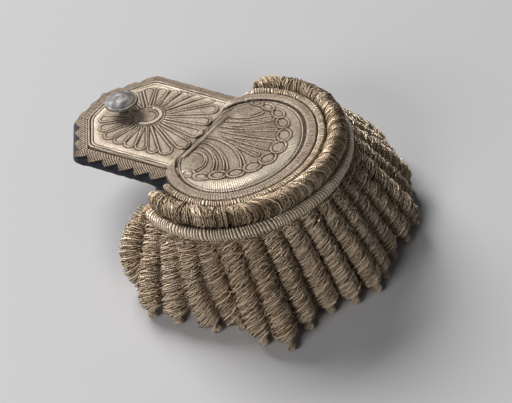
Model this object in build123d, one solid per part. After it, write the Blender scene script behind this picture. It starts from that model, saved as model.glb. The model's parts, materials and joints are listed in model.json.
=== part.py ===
from build123d import *
import math
import os

# An officer's epaulette with a thick bullion fringe, resting on the tips of its tassels.
# Millimetres. Each piece is drawn on the level plane of the pressed plate, with X from the
# strap towards the outer end of the crescent and Y across, and is then leaned and lifted.

# Oval of the crescent's field: two side arcs and a front arc that meet tangentially
oval_side_radius = 23.2
oval_side_centre = 10.9
oval_front_centre = 12.4

# Strap of the pressed plate, measured from the centre of the crescent
strap_reach = 78.0
strap_end_half_width = 9.5
cant_length = 13.6
strap_half_width = 27.3
neck_half_width = 26.2
neck_reach = 19.3

# Pressed plate
plate_thickness = 0.8
plate_margin = 4.4
rim_width = 1.1
rim_height = 0.8
rim_line_gap = 0.5
rim_line_width = 0.6
rim_line_height = 0.4
roll_width = 3.0
roll_height = 1.3
relief_height = 0.6
bar_length = 34.0
bar_width = 0.9
bar_gap = 0.7

# Palmette on the strap
palmette_centre_reach = 51.0
palmette_aside = 1.3
palmette_turn = 4.5
palmette_eye_radius = 6.0
palmette_eye_width = 1.5
palmette_root_radius = 8.2
petal_reach = 31.0
petal_tip_radius = 2.6
petal_root_half_width = 0.6

# Shell on the crescent
shell_root_reach = 16.6
shell_front_reach = 16.4
shell_side_reach = 27.0
shell_line_width = 0.9
oval_boss_half_length = 4.0
oval_boss_half_width = 2.8

# Lace border and the padded edge that it wraps
lace_flat_width = 2.1
lace_end_extra = 1.8
edge_round = 5.1
lace_thickness = 0.5
lace_clearance = 0.2
lace_notch_angle = 25.0
lace_tooth_angle = 57.0
lace_tooth_pitch = 8.2
lace_plate_clearance = 0.3

# Small working distances: how deep a moulding is seated, how far a cut runs past what it cuts
# and how much the rounded end of a cord is smaller than the cord
seat_depth = 0.1
cut_past = 1.0
cord_end_step = 0.03

# Cloth base
base_clearance = 0.3
base_inset = 0.2
strap_thickness = 4.9
strap_corner_round = 6.0
strap_under_crescent = 11.0
crescent_pad_thickness = 3.9
crescent_pad_margin = 14.4
pad_end_reach = 24.0

# Cords and torsade round the crescent: radius, outward offset from the field and height
inner_cord_radius = 1.75
inner_cord_offset = 6.5
inner_cord_height = 0.2
inner_cord_end_reach = 14.5
torsade_radius = 4.5
torsade_offset = 13.0
torsade_height = -0.5
horseshoe_end_reach = 16.5
outer_cord_radius = 2.6
outer_cord_offset = 17.3
outer_cord_height = -6.6
cord_clearance = 0.35

# Fringe
heading_width = 6.6
heading_height = 3.4
heading_offset = 14.6
tassel_count = 23
tassel_radius = 5.1
tassel_tip_reach = 74.0
tassel_end_angle = 100.0
tassel_root_share = 0.75
tassel_tip_height = 1.6
tassel_upper_share = 0.33
tassel_lower_share = 0.70
tassel_lower_belly_share = 0.6

# Button
button_reach = 64.0
button_radius = 7.9
button_edge_radius = 0.55
button_dome_rise = 1.9
button_height = 6.4
shank_radius = 2.2
shank_clearance = 0.25

# Hidden tongue under the strap
tongue_width = 9.0
tongue_length = 46.0
tongue_thickness = 1.0
tongue_lift = 2.6
tongue_foot_length = 9.0
tongue_reach = 73.0
tongue_clearance = 0.2

# Stance: lean of the plate and height of its plane above the floor at the crescent's centre
lean = 8.6
stand_height = 44.0

# Faces of the layers, from the plate's field downwards
field_top = plate_thickness / 2
plate_bottom = -plate_thickness / 2
base_top = plate_bottom - base_clearance
lace_top = base_top + lace_clearance + lace_thickness
base_bottom = base_top - strap_thickness
pad_top = torsade_height - torsade_radius - cord_clearance
pad_bottom = pad_top - crescent_pad_thickness
heading_top = pad_bottom - base_clearance


# Palmette petals on one side: turn from the palmette's axis in degrees, then the reach of the
# tip and the radius of the tip as shares of petal_reach and petal_tip_radius
PETALS = [
    # turn, reach, tip
    (9.5, 0.94, 0.92),
    (27.3, 1.00, 1.00),
    (43.3, 0.98, 0.92),
    (54.5, 0.87, 0.78),
    (68.0, 0.76, 0.80),
    (83.0, 0.71, 0.84),
    (100.0, 0.69, 0.88),
    (119.0, 0.71, 0.88),
    (138.5, 0.71, 0.84),
    (157.5, 0.71, 0.76),
]

# Bosses of the shell's chain on one side: place along X as a share of shell_front_reach, place
# along Y as a share of shell_side_reach, then half length and half width as shares of the boss
BOSSES = [
    # along, across, long, short
    (1.00, 0.155, 0.92, 0.96),
    (0.82, 0.452, 1.00, 1.00),
    (0.52, 0.722, 0.98, 0.96),
    (0.16, 0.889, 0.84, 0.80),
    (-0.21, 0.974, 0.74, 0.70),
    (-0.66, 1.000, 0.84, 0.60),
]

# Curved leaves of the shell on one side, each an arc through three places: X as a share of
# shell_root_reach and Y as a share of shell_side_reach
LEAVES = [
    # start x, start y, middle x, middle y, end x, end y
    (-1.00, 0.465, -0.49, 0.593, -0.52, 0.874),
    (-1.00, 0.307, -0.33, 0.481, -0.06, 0.763),
    (-1.00, 0.193, -0.31, 0.333, 0.22, 0.693),
    (-1.00, 0.067, -0.06, 0.156, 0.58, 0.511),
]

# Flutes between the two inner leaves: half spread at the root and at the tip as shares of
# shell_side_reach, and the tip's place along X as a share of shell_front_reach
FLUTES = [
    # root across, tip across, tip along
    (0.019, 0.078, 0.77),
    (0.044, 0.230, 0.69),
]

# Body of a tassel from its top to its tip: place along its length and radius, both as shares
TASSEL_SECTIONS = [
    # along, radius
    (0.00, 0.55),
    (0.10, 0.77),
    (0.30, 0.85),
    (0.55, 0.93),
    (0.72, 0.98),
    (0.82, 0.95),
    (0.89, 0.68),
    (0.925, 0.40),
    (0.965, 0.42),
    (1.00, 0.25),
]

# Habit of each tassel from the neck on -Y round the front to the neck on +Y: turn of the tip
# from its even place towards the front in degrees, then how much further out the tip stands,
# how far the middle bellies out and how far it swings towards the front, as shares of the radius
HABITS = [
    # turn, out, belly, swing
    (-3.0, -3.00, 3.10, -0.20),
    (0.5, -0.40, 0.75, 0.00),
    (0.5, -0.75, 0.50, 0.00),
    (6.0, -0.80, 0.55, -0.80),
    (5.5, -1.20, 0.50, -0.55),
    (-3.0, 0.60, 0.55, 0.05),
    (-1.5, 1.60, 0.45, 0.00),
    (-0.5, 0.00, 0.50, 0.00),
    (-1.5, -0.75, 0.55, 0.10),
    (-2.0, -0.20, 0.45, 0.00),
    (-2.0, 0.35, 0.55, 0.00),
    (0.5, 0.10, 0.50, 0.00),
    (0.0, -0.20, 0.55, 0.00),
    (0.0, 0.50, 0.60, 0.00),
    (-1.0, 1.15, 0.80, 0.10),
    (0.5, 0.80, 1.00, 0.00),
    (1.0, 1.30, 1.20, 0.10),
    (0.0, 0.90, 1.40, 0.00),
    (1.5, 1.20, 1.60, 0.10),
    (1.0, 0.60, 1.80, 0.00),
    (0.5, 0.90, 2.00, 0.00),
    (1.5, 0.20, 2.20, 0.00),
    (2.0, -0.20, 2.20, 0.00),
]


def side_angle():
    """Angle in degrees at which the front arc of the oval passes into a side arc."""
    return math.degrees(math.atan2(oval_side_centre, oval_front_centre))


def side_arc_point(offset, degrees):
    """Point of the side arc on +Y of the oval that lies offset outside the field."""
    radius = oval_side_radius + offset
    turn = math.radians(degrees)
    return (radius * math.cos(turn), oval_side_centre + radius * math.sin(turn))


def front_reach(offset):
    """Reach along +X of the oval that lies offset outside the field."""
    spread = math.hypot(oval_side_centre, oval_front_centre)
    return oval_side_radius + offset + spread - oval_front_centre


def end_angle(offset, end_reach):
    """Angle on the side arc, in degrees, where the oval has come back to X = -end_reach."""
    return math.degrees(math.acos(-end_reach / (oval_side_radius + offset)))


def horseshoe(offset, end_reach, z=0.0):
    """Open path of three tangent arcs from the neck on -Y round the front to the neck on +Y."""
    last = end_angle(offset, end_reach)
    end = side_arc_point(offset, last)
    middle = side_arc_point(offset, (last + side_angle()) / 2)
    joint = side_arc_point(offset, side_angle())
    return Wire([
        ThreePointArc((end[0], -end[1], z), (middle[0], -middle[1], z), (joint[0], -joint[1], z)),
        ThreePointArc((joint[0], -joint[1], z), (front_reach(offset), 0, z), (joint[0], joint[1], z)),
        ThreePointArc((joint[0], joint[1], z), (middle[0], middle[1], z), (end[0], end[1], z)),
    ])


def crescent_face(offset, end_reach):
    """Flat face inside the horseshoe, closed straight across the neck."""
    path = horseshoe(offset, end_reach)
    return make_face(path.edges() + [Line(path @ 1, path @ 0)])


def band_face(outer_offset, width, end_reach):
    """Flat horseshoe band that ends straight across at the neck."""
    inner = crescent_face(outer_offset - width, end_reach + cut_past)
    return crescent_face(outer_offset, end_reach) - inner


def strap_points(margin=0.0, extra=0.0):
    """Corners of the strap moved outward by margin, from the neck on -Y, with a longer end."""
    far = -neck_reach + strap_under_crescent
    taper = (strap_half_width - neck_half_width) / (strap_reach - cant_length - neck_reach)
    root_half = neck_half_width - taper * strap_under_crescent
    corners = [
        (far, -root_half),
        (-strap_reach - extra + cant_length, -strap_half_width),
        (-strap_reach - extra, -strap_end_half_width),
        (-strap_reach - extra, strap_end_half_width),
        (-strap_reach - extra + cant_length, strap_half_width),
        (far, root_half),
    ]
    return mitred(corners, margin)


def mitred(corners, margin):
    """Open outline moved outward by margin, with mitred corners and squared ends."""
    moved = []
    for index, corner in enumerate(corners):
        normals = []
        if index > 0:
            normals.append(outer_normal(corners[index - 1], corner))
        if index < len(corners) - 1:
            normals.append(outer_normal(corner, corners[index + 1]))
        first = normals[0]
        last = normals[-1]
        stretch = margin / (1 + first[0] * last[0] + first[1] * last[1])
        shift = ((first[0] + last[0]) * stretch, (first[1] + last[1]) * stretch)
        moved.append((corner[0] + shift[0], corner[1] + shift[1]))
    return moved


def outer_normal(tail, head):
    """Unit vector to the outer side of the strap's outline, which runs from tail to head."""
    run = (head[0] - tail[0], head[1] - tail[1])
    length = math.hypot(run[0], run[1])
    return (-run[1] / length, run[0] / length)


def polygon(points):
    """Flat face with the given corners."""
    return make_face(Polyline(*points, close=True).edges())


def slab(face, bottom, top):
    """Level slab of a flat face between two heights."""
    return extrude(Pos(0, 0, bottom) * face, amount=top - bottom, dir=(0, 0, 1))


def stood(shape):
    """Shape leaned back and lifted to the way that the epaulette stands."""
    return Pos(0, 0, stand_height) * Rot(0, -lean, 0) * shape


def half_round(path, width, height, z):
    """Moulding of half round section with its flat side at height z along a path."""
    start = Plane(origin=path @ 0, x_dir=(0, 0, 1), z_dir=path % 0)
    arch = ThreePointArc((0, -width / 2), (height, 0), (0, width / 2))
    section = make_face([arch, Line((0, width / 2), (0, -width / 2))])
    return Pos(0, 0, z) * sweep(start * section, path=path)


def ribbon(start, middle, end, width):
    """Flat strip of even width along the arc through three points."""
    arc = ThreePointArc(start, middle, end)
    centre = arc.arc_center
    radius = arc.radius

    def at(point, distance):
        away = Vector(point[0], point[1], 0) - centre
        return centre + away.normalized() * distance

    inner = radius - width / 2
    outer = radius + width / 2
    return make_face([
        ThreePointArc(at(start, inner), at(middle, inner), at(end, inner)),
        Line(at(end, inner), at(end, outer)),
        ThreePointArc(at(end, outer), at(middle, outer), at(start, outer)),
        Line(at(start, outer), at(start, inner)),
    ])


def petal_face(turn, reach, tip):
    """Flat teardrop that widens from the palmette's eye to a round tip."""
    from_centre = palmette_root_radius
    to_centre = reach - tip
    body = make_hull(
        (Pos(from_centre, 0, 0) * Circle(petal_root_half_width)).edges()
        + (Pos(to_centre, 0, 0) * Circle(tip)).edges())
    return Rot(0, 0, turn) * body


def palmette_faces():
    """Petals on both sides of the turned axis and the curved ridge of the eye."""
    faces = []
    for turn, reach, tip in PETALS:
        for side in (-1, 1):
            faces.append(petal_face(side * turn, reach * petal_reach, tip * petal_tip_radius))
    eye = palmette_eye_radius
    faces.append(ribbon((0, -eye), (eye, 0), (0, eye), palmette_eye_width))
    place = Pos(-palmette_centre_reach, palmette_aside, 0) * Rot(0, 0, palmette_turn)
    return [place * face for face in faces]


def shell_faces():
    """Leaves, flutes and chain of oval bosses on the crescent."""
    faces = []
    bosses = [(along * shell_front_reach, across * shell_side_reach, long, short)
              for along, across, long, short in BOSSES]
    for index, (x, y, long, short) in enumerate(bosses):
        before = bosses[max(index - 1, 0)]
        after = bosses[min(index + 1, len(bosses) - 1)]
        run_x = after[0] - before[0] if index > 0 else 0
        run_y = after[1] - before[1] if index > 0 else 1
        turn = math.degrees(math.atan2(run_y, run_x))
        boss = Rot(0, 0, turn) * Ellipse(long * oval_boss_half_length, short * oval_boss_half_width)
        for side in (-1, 1):
            placed = boss if side > 0 else mirror(boss, about=Plane.XZ)
            faces.append(Pos(x, side * y, 0) * placed)
    for side in (-1, 1):
        for row in LEAVES:
            places = [(row[i] * shell_root_reach, side * row[i + 1] * shell_side_reach)
                      for i in (0, 2, 4)]
            faces.append(ribbon(*places, shell_line_width))
        for root_across, tip_across, tip_along in FLUTES:
            faces.append(make_hull(
                (Pos(-shell_root_reach, side * root_across * shell_side_reach, 0)
                 * Circle(shell_line_width / 3)).edges()
                + (Pos(tip_along * shell_front_reach, side * tip_across * shell_side_reach, 0)
                   * Circle(shell_line_width / 2)).edges()))
    return faces


def bar_faces():
    """Double line across the plate between the strap and the crescent."""
    step = (bar_width + bar_gap) / 2
    return [Pos(-neck_reach + side * step, 0, 0) * Rectangle(bar_width, bar_length)
            for side in (-1, 1)]


def strap_band(margin, width):
    """Flat band inside the strap's outline, its outer side moved inward by margin."""
    outer = polygon(strap_points(-margin))
    inner = polygon(strap_points(-margin - width))
    stop = Pos(strap_reach - neck_reach - rim_width, 0, 0) * Rectangle(2 * strap_reach, 4 * strap_half_width)
    return outer - inner - stop


def plate_face(margin=0.0):
    """Outline of the pressed plate, moved outward by margin."""
    radius = oval_side_radius + plate_margin
    meeting = math.sqrt(radius ** 2 - (neck_half_width - oval_side_centre) ** 2)
    return polygon(strap_points(margin)) + crescent_face(plate_margin + margin, meeting)


def pressed_plate():
    """Plate of strap and crescent with its raised rims, roll, palmette, shell and bar."""
    plate = slab(plate_face(), plate_bottom, field_top)
    rim = strap_band(0, rim_width)
    inner_line = strap_band(rim_width + rim_line_gap, rim_line_width)
    field_rim = band_face(0, rim_width, neck_reach - rim_width)
    field_line = band_face(-rim_width - rim_line_gap, rim_line_width, neck_reach - 3 * rim_width)
    raised = [slab(rim, 0, field_top + rim_height), slab(field_rim, 0, field_top + rim_height)]
    raised += [slab(inner_line, 0, field_top + rim_line_height)]
    raised += [slab(field_line, 0, field_top + rim_line_height)]
    for face in palmette_faces() + shell_faces() + bar_faces():
        raised.append(slab(face, 0, field_top + relief_height))
    roll_path = horseshoe(plate_margin - roll_width / 2, neck_reach + rim_width)
    roll = half_round(roll_path, roll_width, roll_height, field_top - seat_depth)
    return plate.fuse(*raised, roll)


def round_cord(radius, offset, height, end_reach):
    """Round cord laid in a horseshoe, with rounded ends."""
    path = horseshoe(offset, end_reach, height)
    cord = sweep(Plane(origin=path @ 0, z_dir=path % 0) * Circle(radius), path=path)
    end_radius = radius - cord_end_step
    return cord.fuse(Pos(path @ 0) * Sphere(end_radius), Pos(path @ 1) * Sphere(end_radius))


def padded_strap(margin, top, bottom, edge):
    """Slab of the strap's outline moved outward, with rounded corners and upper edges."""
    body = slab(polygon(strap_points(margin, lace_end_extra)), bottom, top)
    upright = [line for line in body.edges().filter_by(Axis.Z) if line.center().X < -neck_reach]
    body = fillet(upright, strap_corner_round)
    ring = body.faces().sort_by(Axis.Z)[-1].edges()
    return fillet([line for line in ring if line.center().X < -neck_reach], edge)


def edge_drop(turn):
    """How far outside the rim the lace lies where the padded edge has turned by an angle."""
    return lace_flat_width + edge_round * math.sin(math.radians(turn))


def teeth_points():
    """Zigzag of the lace seen from above, with a tooth on each corner of the strap."""
    notches = strap_points(edge_drop(lace_notch_angle), lace_end_extra)
    tips = strap_points(edge_drop(lace_tooth_angle), lace_end_extra)
    points = []
    for index in range(len(tips) - 1):
        length = math.dist(tips[index], tips[index + 1])
        count = max(1, round(length / lace_tooth_pitch))
        for step in range(count):
            points.append(between(tips[index], tips[index + 1], step / count))
            points.append(between(notches[index], notches[index + 1], (step + 0.5) / count))
    points.append(tips[-1])
    return points


def between(start, end, share):
    """Point at a share of the way from start to end."""
    return tuple(a + (b - a) * share for a, b in zip(start, end))


def lace_border():
    """Lace that lies on the padded edge round the strap, cut to a row of teeth."""
    outer = padded_strap(lace_flat_width + edge_round, lace_top, base_bottom, edge_round)
    under = edge_round - lace_thickness
    low = base_bottom - cut_past
    inner = padded_strap(lace_flat_width + under, lace_top - lace_thickness, low, under)
    teeth = slab(polygon(teeth_points()), low, lace_top + cut_past)
    hole = slab(plate_face(lace_plate_clearance), low, lace_top + cut_past)
    neck = Box(2 * (neck_reach + lace_plate_clearance), 4 * strap_half_width, 4 * strap_thickness)
    return (outer & teeth) - inner - hole - neck


def cloth_base():
    """Padded strap and the crescent's stepped pad, one cloth-covered body."""
    under = edge_round - lace_thickness - lace_clearance
    strap = padded_strap(lace_flat_width + under, base_top, base_bottom, under)
    field = slab(crescent_face(plate_margin - base_inset, neck_reach), base_bottom, base_top)
    shelf_top = inner_cord_height - inner_cord_radius - cord_clearance
    shelf_offset = inner_cord_offset + inner_cord_radius
    shelf_end = inner_cord_end_reach + inner_cord_radius
    shelf = slab(crescent_face(shelf_offset, shelf_end), pad_bottom, shelf_top)
    pad = slab(crescent_face(crescent_pad_margin, pad_end_reach), pad_bottom, pad_top)
    return strap.fuse(field, shelf, pad)


def heading():
    """Flat horseshoe band that the tassels hang from."""
    face = band_face(heading_offset + heading_width / 2, heading_width, pad_end_reach)
    return slab(face, heading_top - heading_height, heading_top)


def heading_path():
    """Line low in the heading where the tassels start."""
    return horseshoe(heading_offset, pad_end_reach, heading_top - heading_height * tassel_root_share)


def heading_place(share):
    """Point and outward direction on the plate's plane at a share of the heading's length."""
    path = heading_path()
    along = path % share
    return path @ share, Vector(along.Y, -along.X, 0)


def tassel_curve(index):
    """Line from the heading to the floor that one tassel follows, as it stands."""
    last = tassel_count - 1
    turn, out, belly, swing = HABITS[round(index * (len(HABITS) - 1) / last)]
    inset = tassel_radius / 2 / heading_path().length
    place, away = heading_place(inset + (1 - 2 * inset) * index / last)
    top = stood(Vertex(place.X, place.Y, place.Z)).center()
    even = tassel_end_angle * (2 * index / last - 1)
    angle = math.radians(even - math.copysign(turn, even))
    reach = tassel_tip_reach + out * tassel_radius
    tip = Vector(reach * math.cos(angle), reach * math.sin(angle), tassel_tip_height)
    run = tip - top
    bulge = away * (belly * tassel_radius)
    sway = Vector(swing * tassel_radius, 0, 0)
    upper = top + run * tassel_upper_share + bulge + sway
    lower = top + run * tassel_lower_share + bulge * tassel_lower_belly_share + sway * 2
    return Bezier(top, upper, lower, tip)


def tassel(index):
    """Tapered tassel lofted along its line, with a narrow waist and a small round tip."""
    curve = tassel_curve(index)
    sections = []
    away = (curve @ 1) - (curve @ 0)
    across = Vector(-away.Y, away.X, 0)
    for along, radius in TASSEL_SECTIONS:
        direction = curve % along
        level = across - direction * across.dot(direction)
        plane = Plane(origin=curve @ along, x_dir=level, z_dir=direction)
        sections.append(plane * Circle(radius * tassel_radius))
    return loft(sections, ruled=True)


def fringe():
    """Tassels fused one by one to their heading."""
    whole = stood(heading())
    for index in range(tassel_count):
        whole = whole.fuse(tassel(index))
    return whole


def button():
    """Domed button with a round edge on a short shank."""
    edge = button_edge_radius
    inner = button_radius - edge
    top = button_height + edge + button_dome_rise
    dome_radius = (inner ** 2 + button_dome_rise ** 2) / (2 * button_dome_rise)
    half_turn = math.asin(inner / dome_radius) / 2
    shoulder = (dome_radius * math.sin(half_turn), top - dome_radius * (1 - math.cos(half_turn)))
    profile = make_face([
        Line((0, 0), (0, top)),
        ThreePointArc((0, top), shoulder, (inner, button_height + edge)),
        ThreePointArc((inner, button_height + edge), (button_radius, button_height),
                      (inner, button_height - edge)),
        Line((inner, button_height - edge), (shank_radius, button_height - edge)),
        Line((shank_radius, button_height - edge), (shank_radius, 0)),
        Line((shank_radius, 0), (0, 0)),
    ])
    return revolve(Plane.XZ * profile, axis=Axis.Z)


def shoulder_tongue():
    """Plain springy tongue below the strap, bent up to a foot that seats on its underside."""
    under = base_bottom - tongue_clearance
    low = under - tongue_lift - tongue_thickness
    start = -tongue_reach
    foot = start + tongue_length - tongue_foot_length
    rise = tongue_lift
    outline = Polyline(
        (start, low + rise / 2),
        (start + rise, low),
        (foot - rise, low),
        (foot, under - tongue_thickness),
        (start + tongue_length, under - tongue_thickness),
        (start + tongue_length, under),
        (foot - tongue_thickness / 2, under),
        (foot - rise - tongue_thickness / 2, low + tongue_thickness),
        (start + rise + tongue_thickness / 2, low + tongue_thickness),
        (start + tongue_thickness, low + rise / 2 + tongue_thickness),
        close=True)
    return extrude(Plane.XZ * make_face(outline.edges()), amount=tongue_width / 2, both=True)


def centred(pieces):
    """Pieces moved so that the middle of their common box is over the origin, on the floor."""
    boxes = [piece.bounding_box() for piece in pieces.values()]
    middle_x = (min(box.min.X for box in boxes) + max(box.max.X for box in boxes)) / 2
    middle_y = (min(box.min.Y for box in boxes) + max(box.max.Y for box in boxes)) / 2
    floor = min(box.min.Z for box in boxes)
    shift = Pos(-middle_x, -middle_y, -floor)
    return {name: shift * piece for name, piece in pieces.items()}


def epaulette():
    """All pieces by name, in the stance of the finished epaulette."""
    button_place = Pos(-button_reach, 0, field_top + shank_clearance)
    return centred({
        "cloth_base": stood(cloth_base()),
        "lace_border": stood(lace_border()),
        "pressed_plate": stood(pressed_plate()),
        "inner_cord": stood(round_cord(inner_cord_radius, inner_cord_offset,
                                       inner_cord_height, inner_cord_end_reach)),
        "torsade": stood(round_cord(torsade_radius, torsade_offset,
                                    torsade_height, horseshoe_end_reach)),
        "outer_cord": stood(round_cord(outer_cord_radius, outer_cord_offset,
                                       outer_cord_height, horseshoe_end_reach)),
        "fringe": fringe(),
        "button": stood(button_place * button()),
        "shoulder_tongue": stood(shoulder_tongue()),
    })


os.makedirs("parts", exist_ok=True)
for node, solid in epaulette().items():
    export_step(solid, f"parts/{node}.step")
    print(node, round(solid.volume), "mm3")
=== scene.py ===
# %% [markdown]
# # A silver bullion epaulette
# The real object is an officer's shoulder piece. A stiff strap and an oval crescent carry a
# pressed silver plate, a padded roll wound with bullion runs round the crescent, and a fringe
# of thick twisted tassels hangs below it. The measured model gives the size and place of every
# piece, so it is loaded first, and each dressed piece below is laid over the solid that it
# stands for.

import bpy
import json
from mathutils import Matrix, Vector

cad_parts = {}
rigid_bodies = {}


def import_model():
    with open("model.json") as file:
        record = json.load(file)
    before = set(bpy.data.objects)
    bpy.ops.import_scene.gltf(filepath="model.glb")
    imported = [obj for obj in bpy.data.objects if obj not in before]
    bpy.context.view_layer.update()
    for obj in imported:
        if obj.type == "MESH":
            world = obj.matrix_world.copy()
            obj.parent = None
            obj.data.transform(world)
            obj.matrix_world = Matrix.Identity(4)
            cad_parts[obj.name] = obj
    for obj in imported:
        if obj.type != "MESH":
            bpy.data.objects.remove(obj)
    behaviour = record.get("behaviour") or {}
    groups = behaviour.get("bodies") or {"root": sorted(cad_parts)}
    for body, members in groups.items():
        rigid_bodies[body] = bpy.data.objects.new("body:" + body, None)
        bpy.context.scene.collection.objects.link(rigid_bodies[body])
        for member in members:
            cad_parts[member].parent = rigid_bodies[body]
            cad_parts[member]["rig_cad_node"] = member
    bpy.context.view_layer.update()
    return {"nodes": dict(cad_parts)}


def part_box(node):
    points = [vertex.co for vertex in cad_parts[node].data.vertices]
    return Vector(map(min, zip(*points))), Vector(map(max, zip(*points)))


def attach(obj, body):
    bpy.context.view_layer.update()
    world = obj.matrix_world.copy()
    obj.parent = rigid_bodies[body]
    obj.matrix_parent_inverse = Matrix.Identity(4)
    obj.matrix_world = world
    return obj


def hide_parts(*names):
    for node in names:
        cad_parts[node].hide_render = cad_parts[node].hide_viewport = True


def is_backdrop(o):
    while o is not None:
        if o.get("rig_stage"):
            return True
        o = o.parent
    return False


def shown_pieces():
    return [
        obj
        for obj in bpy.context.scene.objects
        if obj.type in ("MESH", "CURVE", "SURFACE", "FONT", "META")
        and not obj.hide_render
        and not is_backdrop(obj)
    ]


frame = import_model()
print("measured pieces:", sorted(frame["nodes"]))

# %% [markdown]
# Every flat part of the epaulette is easiest to draw on the level plane of its plate, in
# millimetres, with x from the strap to the outer end of the crescent and z off the plate. The
# real thing leans: it rests on its fringe, which holds the crescent higher than the strap. One
# function leans and lifts points to where they stand. It could hold a typed offset, but the
# place is read from the box of the torsade instead, so that it follows the measured model.

# %% From the plate's plane to the standing epaulette
import math
import bpy
import numpy as np
from mathutils import Vector

lean = math.radians(8.6)
field_radius = 23.2
side_centre = 10.9
front_centre = 12.4
torsade_radius = 4.5
torsade_offset = 13.0
torsade_height = -0.5


def front_reach(offset):
    """Reach along x of the oval that lies offset outside the crescent's field."""
    return field_radius + offset + math.hypot(side_centre, front_centre) - front_centre


def leaned(points):
    """Points turned by the lean of the plate."""
    points = np.asarray(points, float)
    x = points[..., 0] * math.cos(lean) - points[..., 2] * math.sin(lean)
    z = points[..., 0] * math.sin(lean) + points[..., 2] * math.cos(lean)
    return np.stack([x, points[..., 1], z], -1)


def find_plate_centre():
    """Centre of the crescent on the plate's plane, from the box of the torsade."""
    low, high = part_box("torsade")
    front = leaned((front_reach(torsade_offset), 0, torsade_height))
    return np.array((1000 * high.x - torsade_radius - front[0],
                     500 * (low.y + high.y),
                     1000 * high.z - torsade_radius - front[2]))


plate_centre = find_plate_centre()


def standing(points):
    """Points of the plate's plane, leaned and lifted to where they stand, in millimetres."""
    return leaned(points) + plate_centre


print("plate centre stands at", plate_centre.round(2), "mm")

# %% [markdown]
# The photograph looks down on the epaulette from beyond the fringe, from a little over half a
# metre, with a long lens. A camera could be placed by eye. Here its direction, distance and
# lens come from matching the rims, cords and button of the measured model to their outlines,
# so a piece that is in its place in the model is also in its place in the picture.

# %% Camera
camera_azimuth = math.radians(30.9)
camera_elevation = math.radians(44.6)
camera_distance = 583.3
camera_target = Vector((4.87, 8.3, 0.0))
camera_lens = 87.96


def place_camera():
    """Camera on its line of sight through the target."""
    data = bpy.data.cameras.new("camera")
    data.lens = camera_lens
    data.sensor_width = 36
    data.clip_start = 0.05
    data.clip_end = 20
    back = Vector((math.sin(camera_azimuth) * math.cos(camera_elevation),
                   -math.cos(camera_azimuth) * math.cos(camera_elevation),
                   math.sin(camera_elevation)))
    camera = bpy.data.objects.new("camera", data)
    camera.location = (camera_target + back * camera_distance) / 1000
    camera.rotation_mode = "QUATERNION"
    camera.rotation_quaternion = (-back).to_track_quat("-Z", "Y")
    bpy.context.scene.collection.objects.link(camera)
    bpy.context.scene.camera = camera
    return camera


camera = place_camera()
print("camera at", [round(1000 * value) for value in camera.location], "mm")

# %% [markdown]
# The studio is plain: a pale grey floor and one wide soft light, half high on the strap's side,
# that leaves a broad dark shadow beyond the fringe. A sun lamp would give hard edges, so the key
# light is a large panel. Metal shows what it reflects, so a second, weaker panel stands low at
# the left of the camera and lights the near tassels, and a little light comes from all round.

# %% Floor and lights
floor_half = 2.5
floor_tone = (0.56, 0.552, 0.555, 1)


def panel(name, azimuth, elevation, distance, width, height, power):
    """Light that faces the epaulette; the azimuth is where it stands, from +x towards +y."""
    data = bpy.data.lights.new(name, "AREA")
    data.shape = "RECTANGLE"
    data.size = width
    data.size_y = height
    data.energy = power
    turn, rise = math.radians(azimuth), math.radians(elevation)
    out = Vector((math.cos(turn) * math.cos(rise), math.sin(turn) * math.cos(rise), math.sin(rise)))
    lamp = bpy.data.objects.new(name, data)
    lamp.location = out * distance
    lamp.rotation_mode = "QUATERNION"
    lamp.rotation_quaternion = (-out).to_track_quat("-Z", "Y")
    bpy.context.scene.collection.objects.link(lamp)
    return lamp


def lay_floor():
    """Pale floor, which isn't part of the object."""
    mesh = bpy.data.meshes.new("floor")
    h = floor_half
    mesh.from_pydata([(-h, -h, 0), (h, -h, 0), (h, h, 0), (-h, h, 0)], [], [(0, 1, 2, 3)])
    floor = bpy.data.objects.new("floor", mesh)
    bpy.context.scene.collection.objects.link(floor)
    paper = bpy.data.materials.new("floor_paper")
    paper.use_nodes = True
    shader = paper.node_tree.nodes["Principled BSDF"]
    shader.inputs["Base Color"].default_value = floor_tone
    shader.inputs["Roughness"].default_value = 0.9
    shader.inputs["Specular IOR Level"].default_value = 0.1
    mesh.materials.append(paper)
    floor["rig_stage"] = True
    return floor


def light_world(tone, strength):
    """Even light from all round."""
    world = bpy.data.worlds.new("studio")
    world.use_nodes = True
    background = world.node_tree.nodes["Background"]
    background.inputs["Color"].default_value = tone
    background.inputs["Strength"].default_value = strength
    bpy.context.scene.world = world


bpy.context.scene.view_settings.view_transform = "Standard"
lay_floor()
light_world((0.97, 0.98, 1.0, 1), 0.05)
lights = [
    panel("key_light", azimuth=160, elevation=34, distance=3.5, width=2.4, height=1.2, power=184),
    panel("fill_light", azimuth=-97, elevation=31, distance=1.15, width=0.45, height=0.36, power=5.9),
]
print("lights:", [lamp.name for lamp in lights])

# %% [markdown]
# Materials are built from nodes. A material here is a shader whose colour, roughness and bump
# are worked out from a few textures and from numbers kept on the points of the mesh, such as
# how far along a strand a point is. Nodes could be placed by hand in the editor. Here a short
# helper adds a node, sets its values and links its inputs, and sums and products have a word
# each, so that a recipe reads like the sentence that it stands for.

# %% Node helpers
def new_material(name, metallic=0.0, roughness=0.5):
    """Material with its node tree and its shader."""
    material = bpy.data.materials.new(name)
    material.use_nodes = True
    shader = material.node_tree.nodes["Principled BSDF"]
    shader.inputs["Metallic"].default_value = metallic
    shader.inputs["Roughness"].default_value = roughness
    return material, material.node_tree, shader


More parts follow.
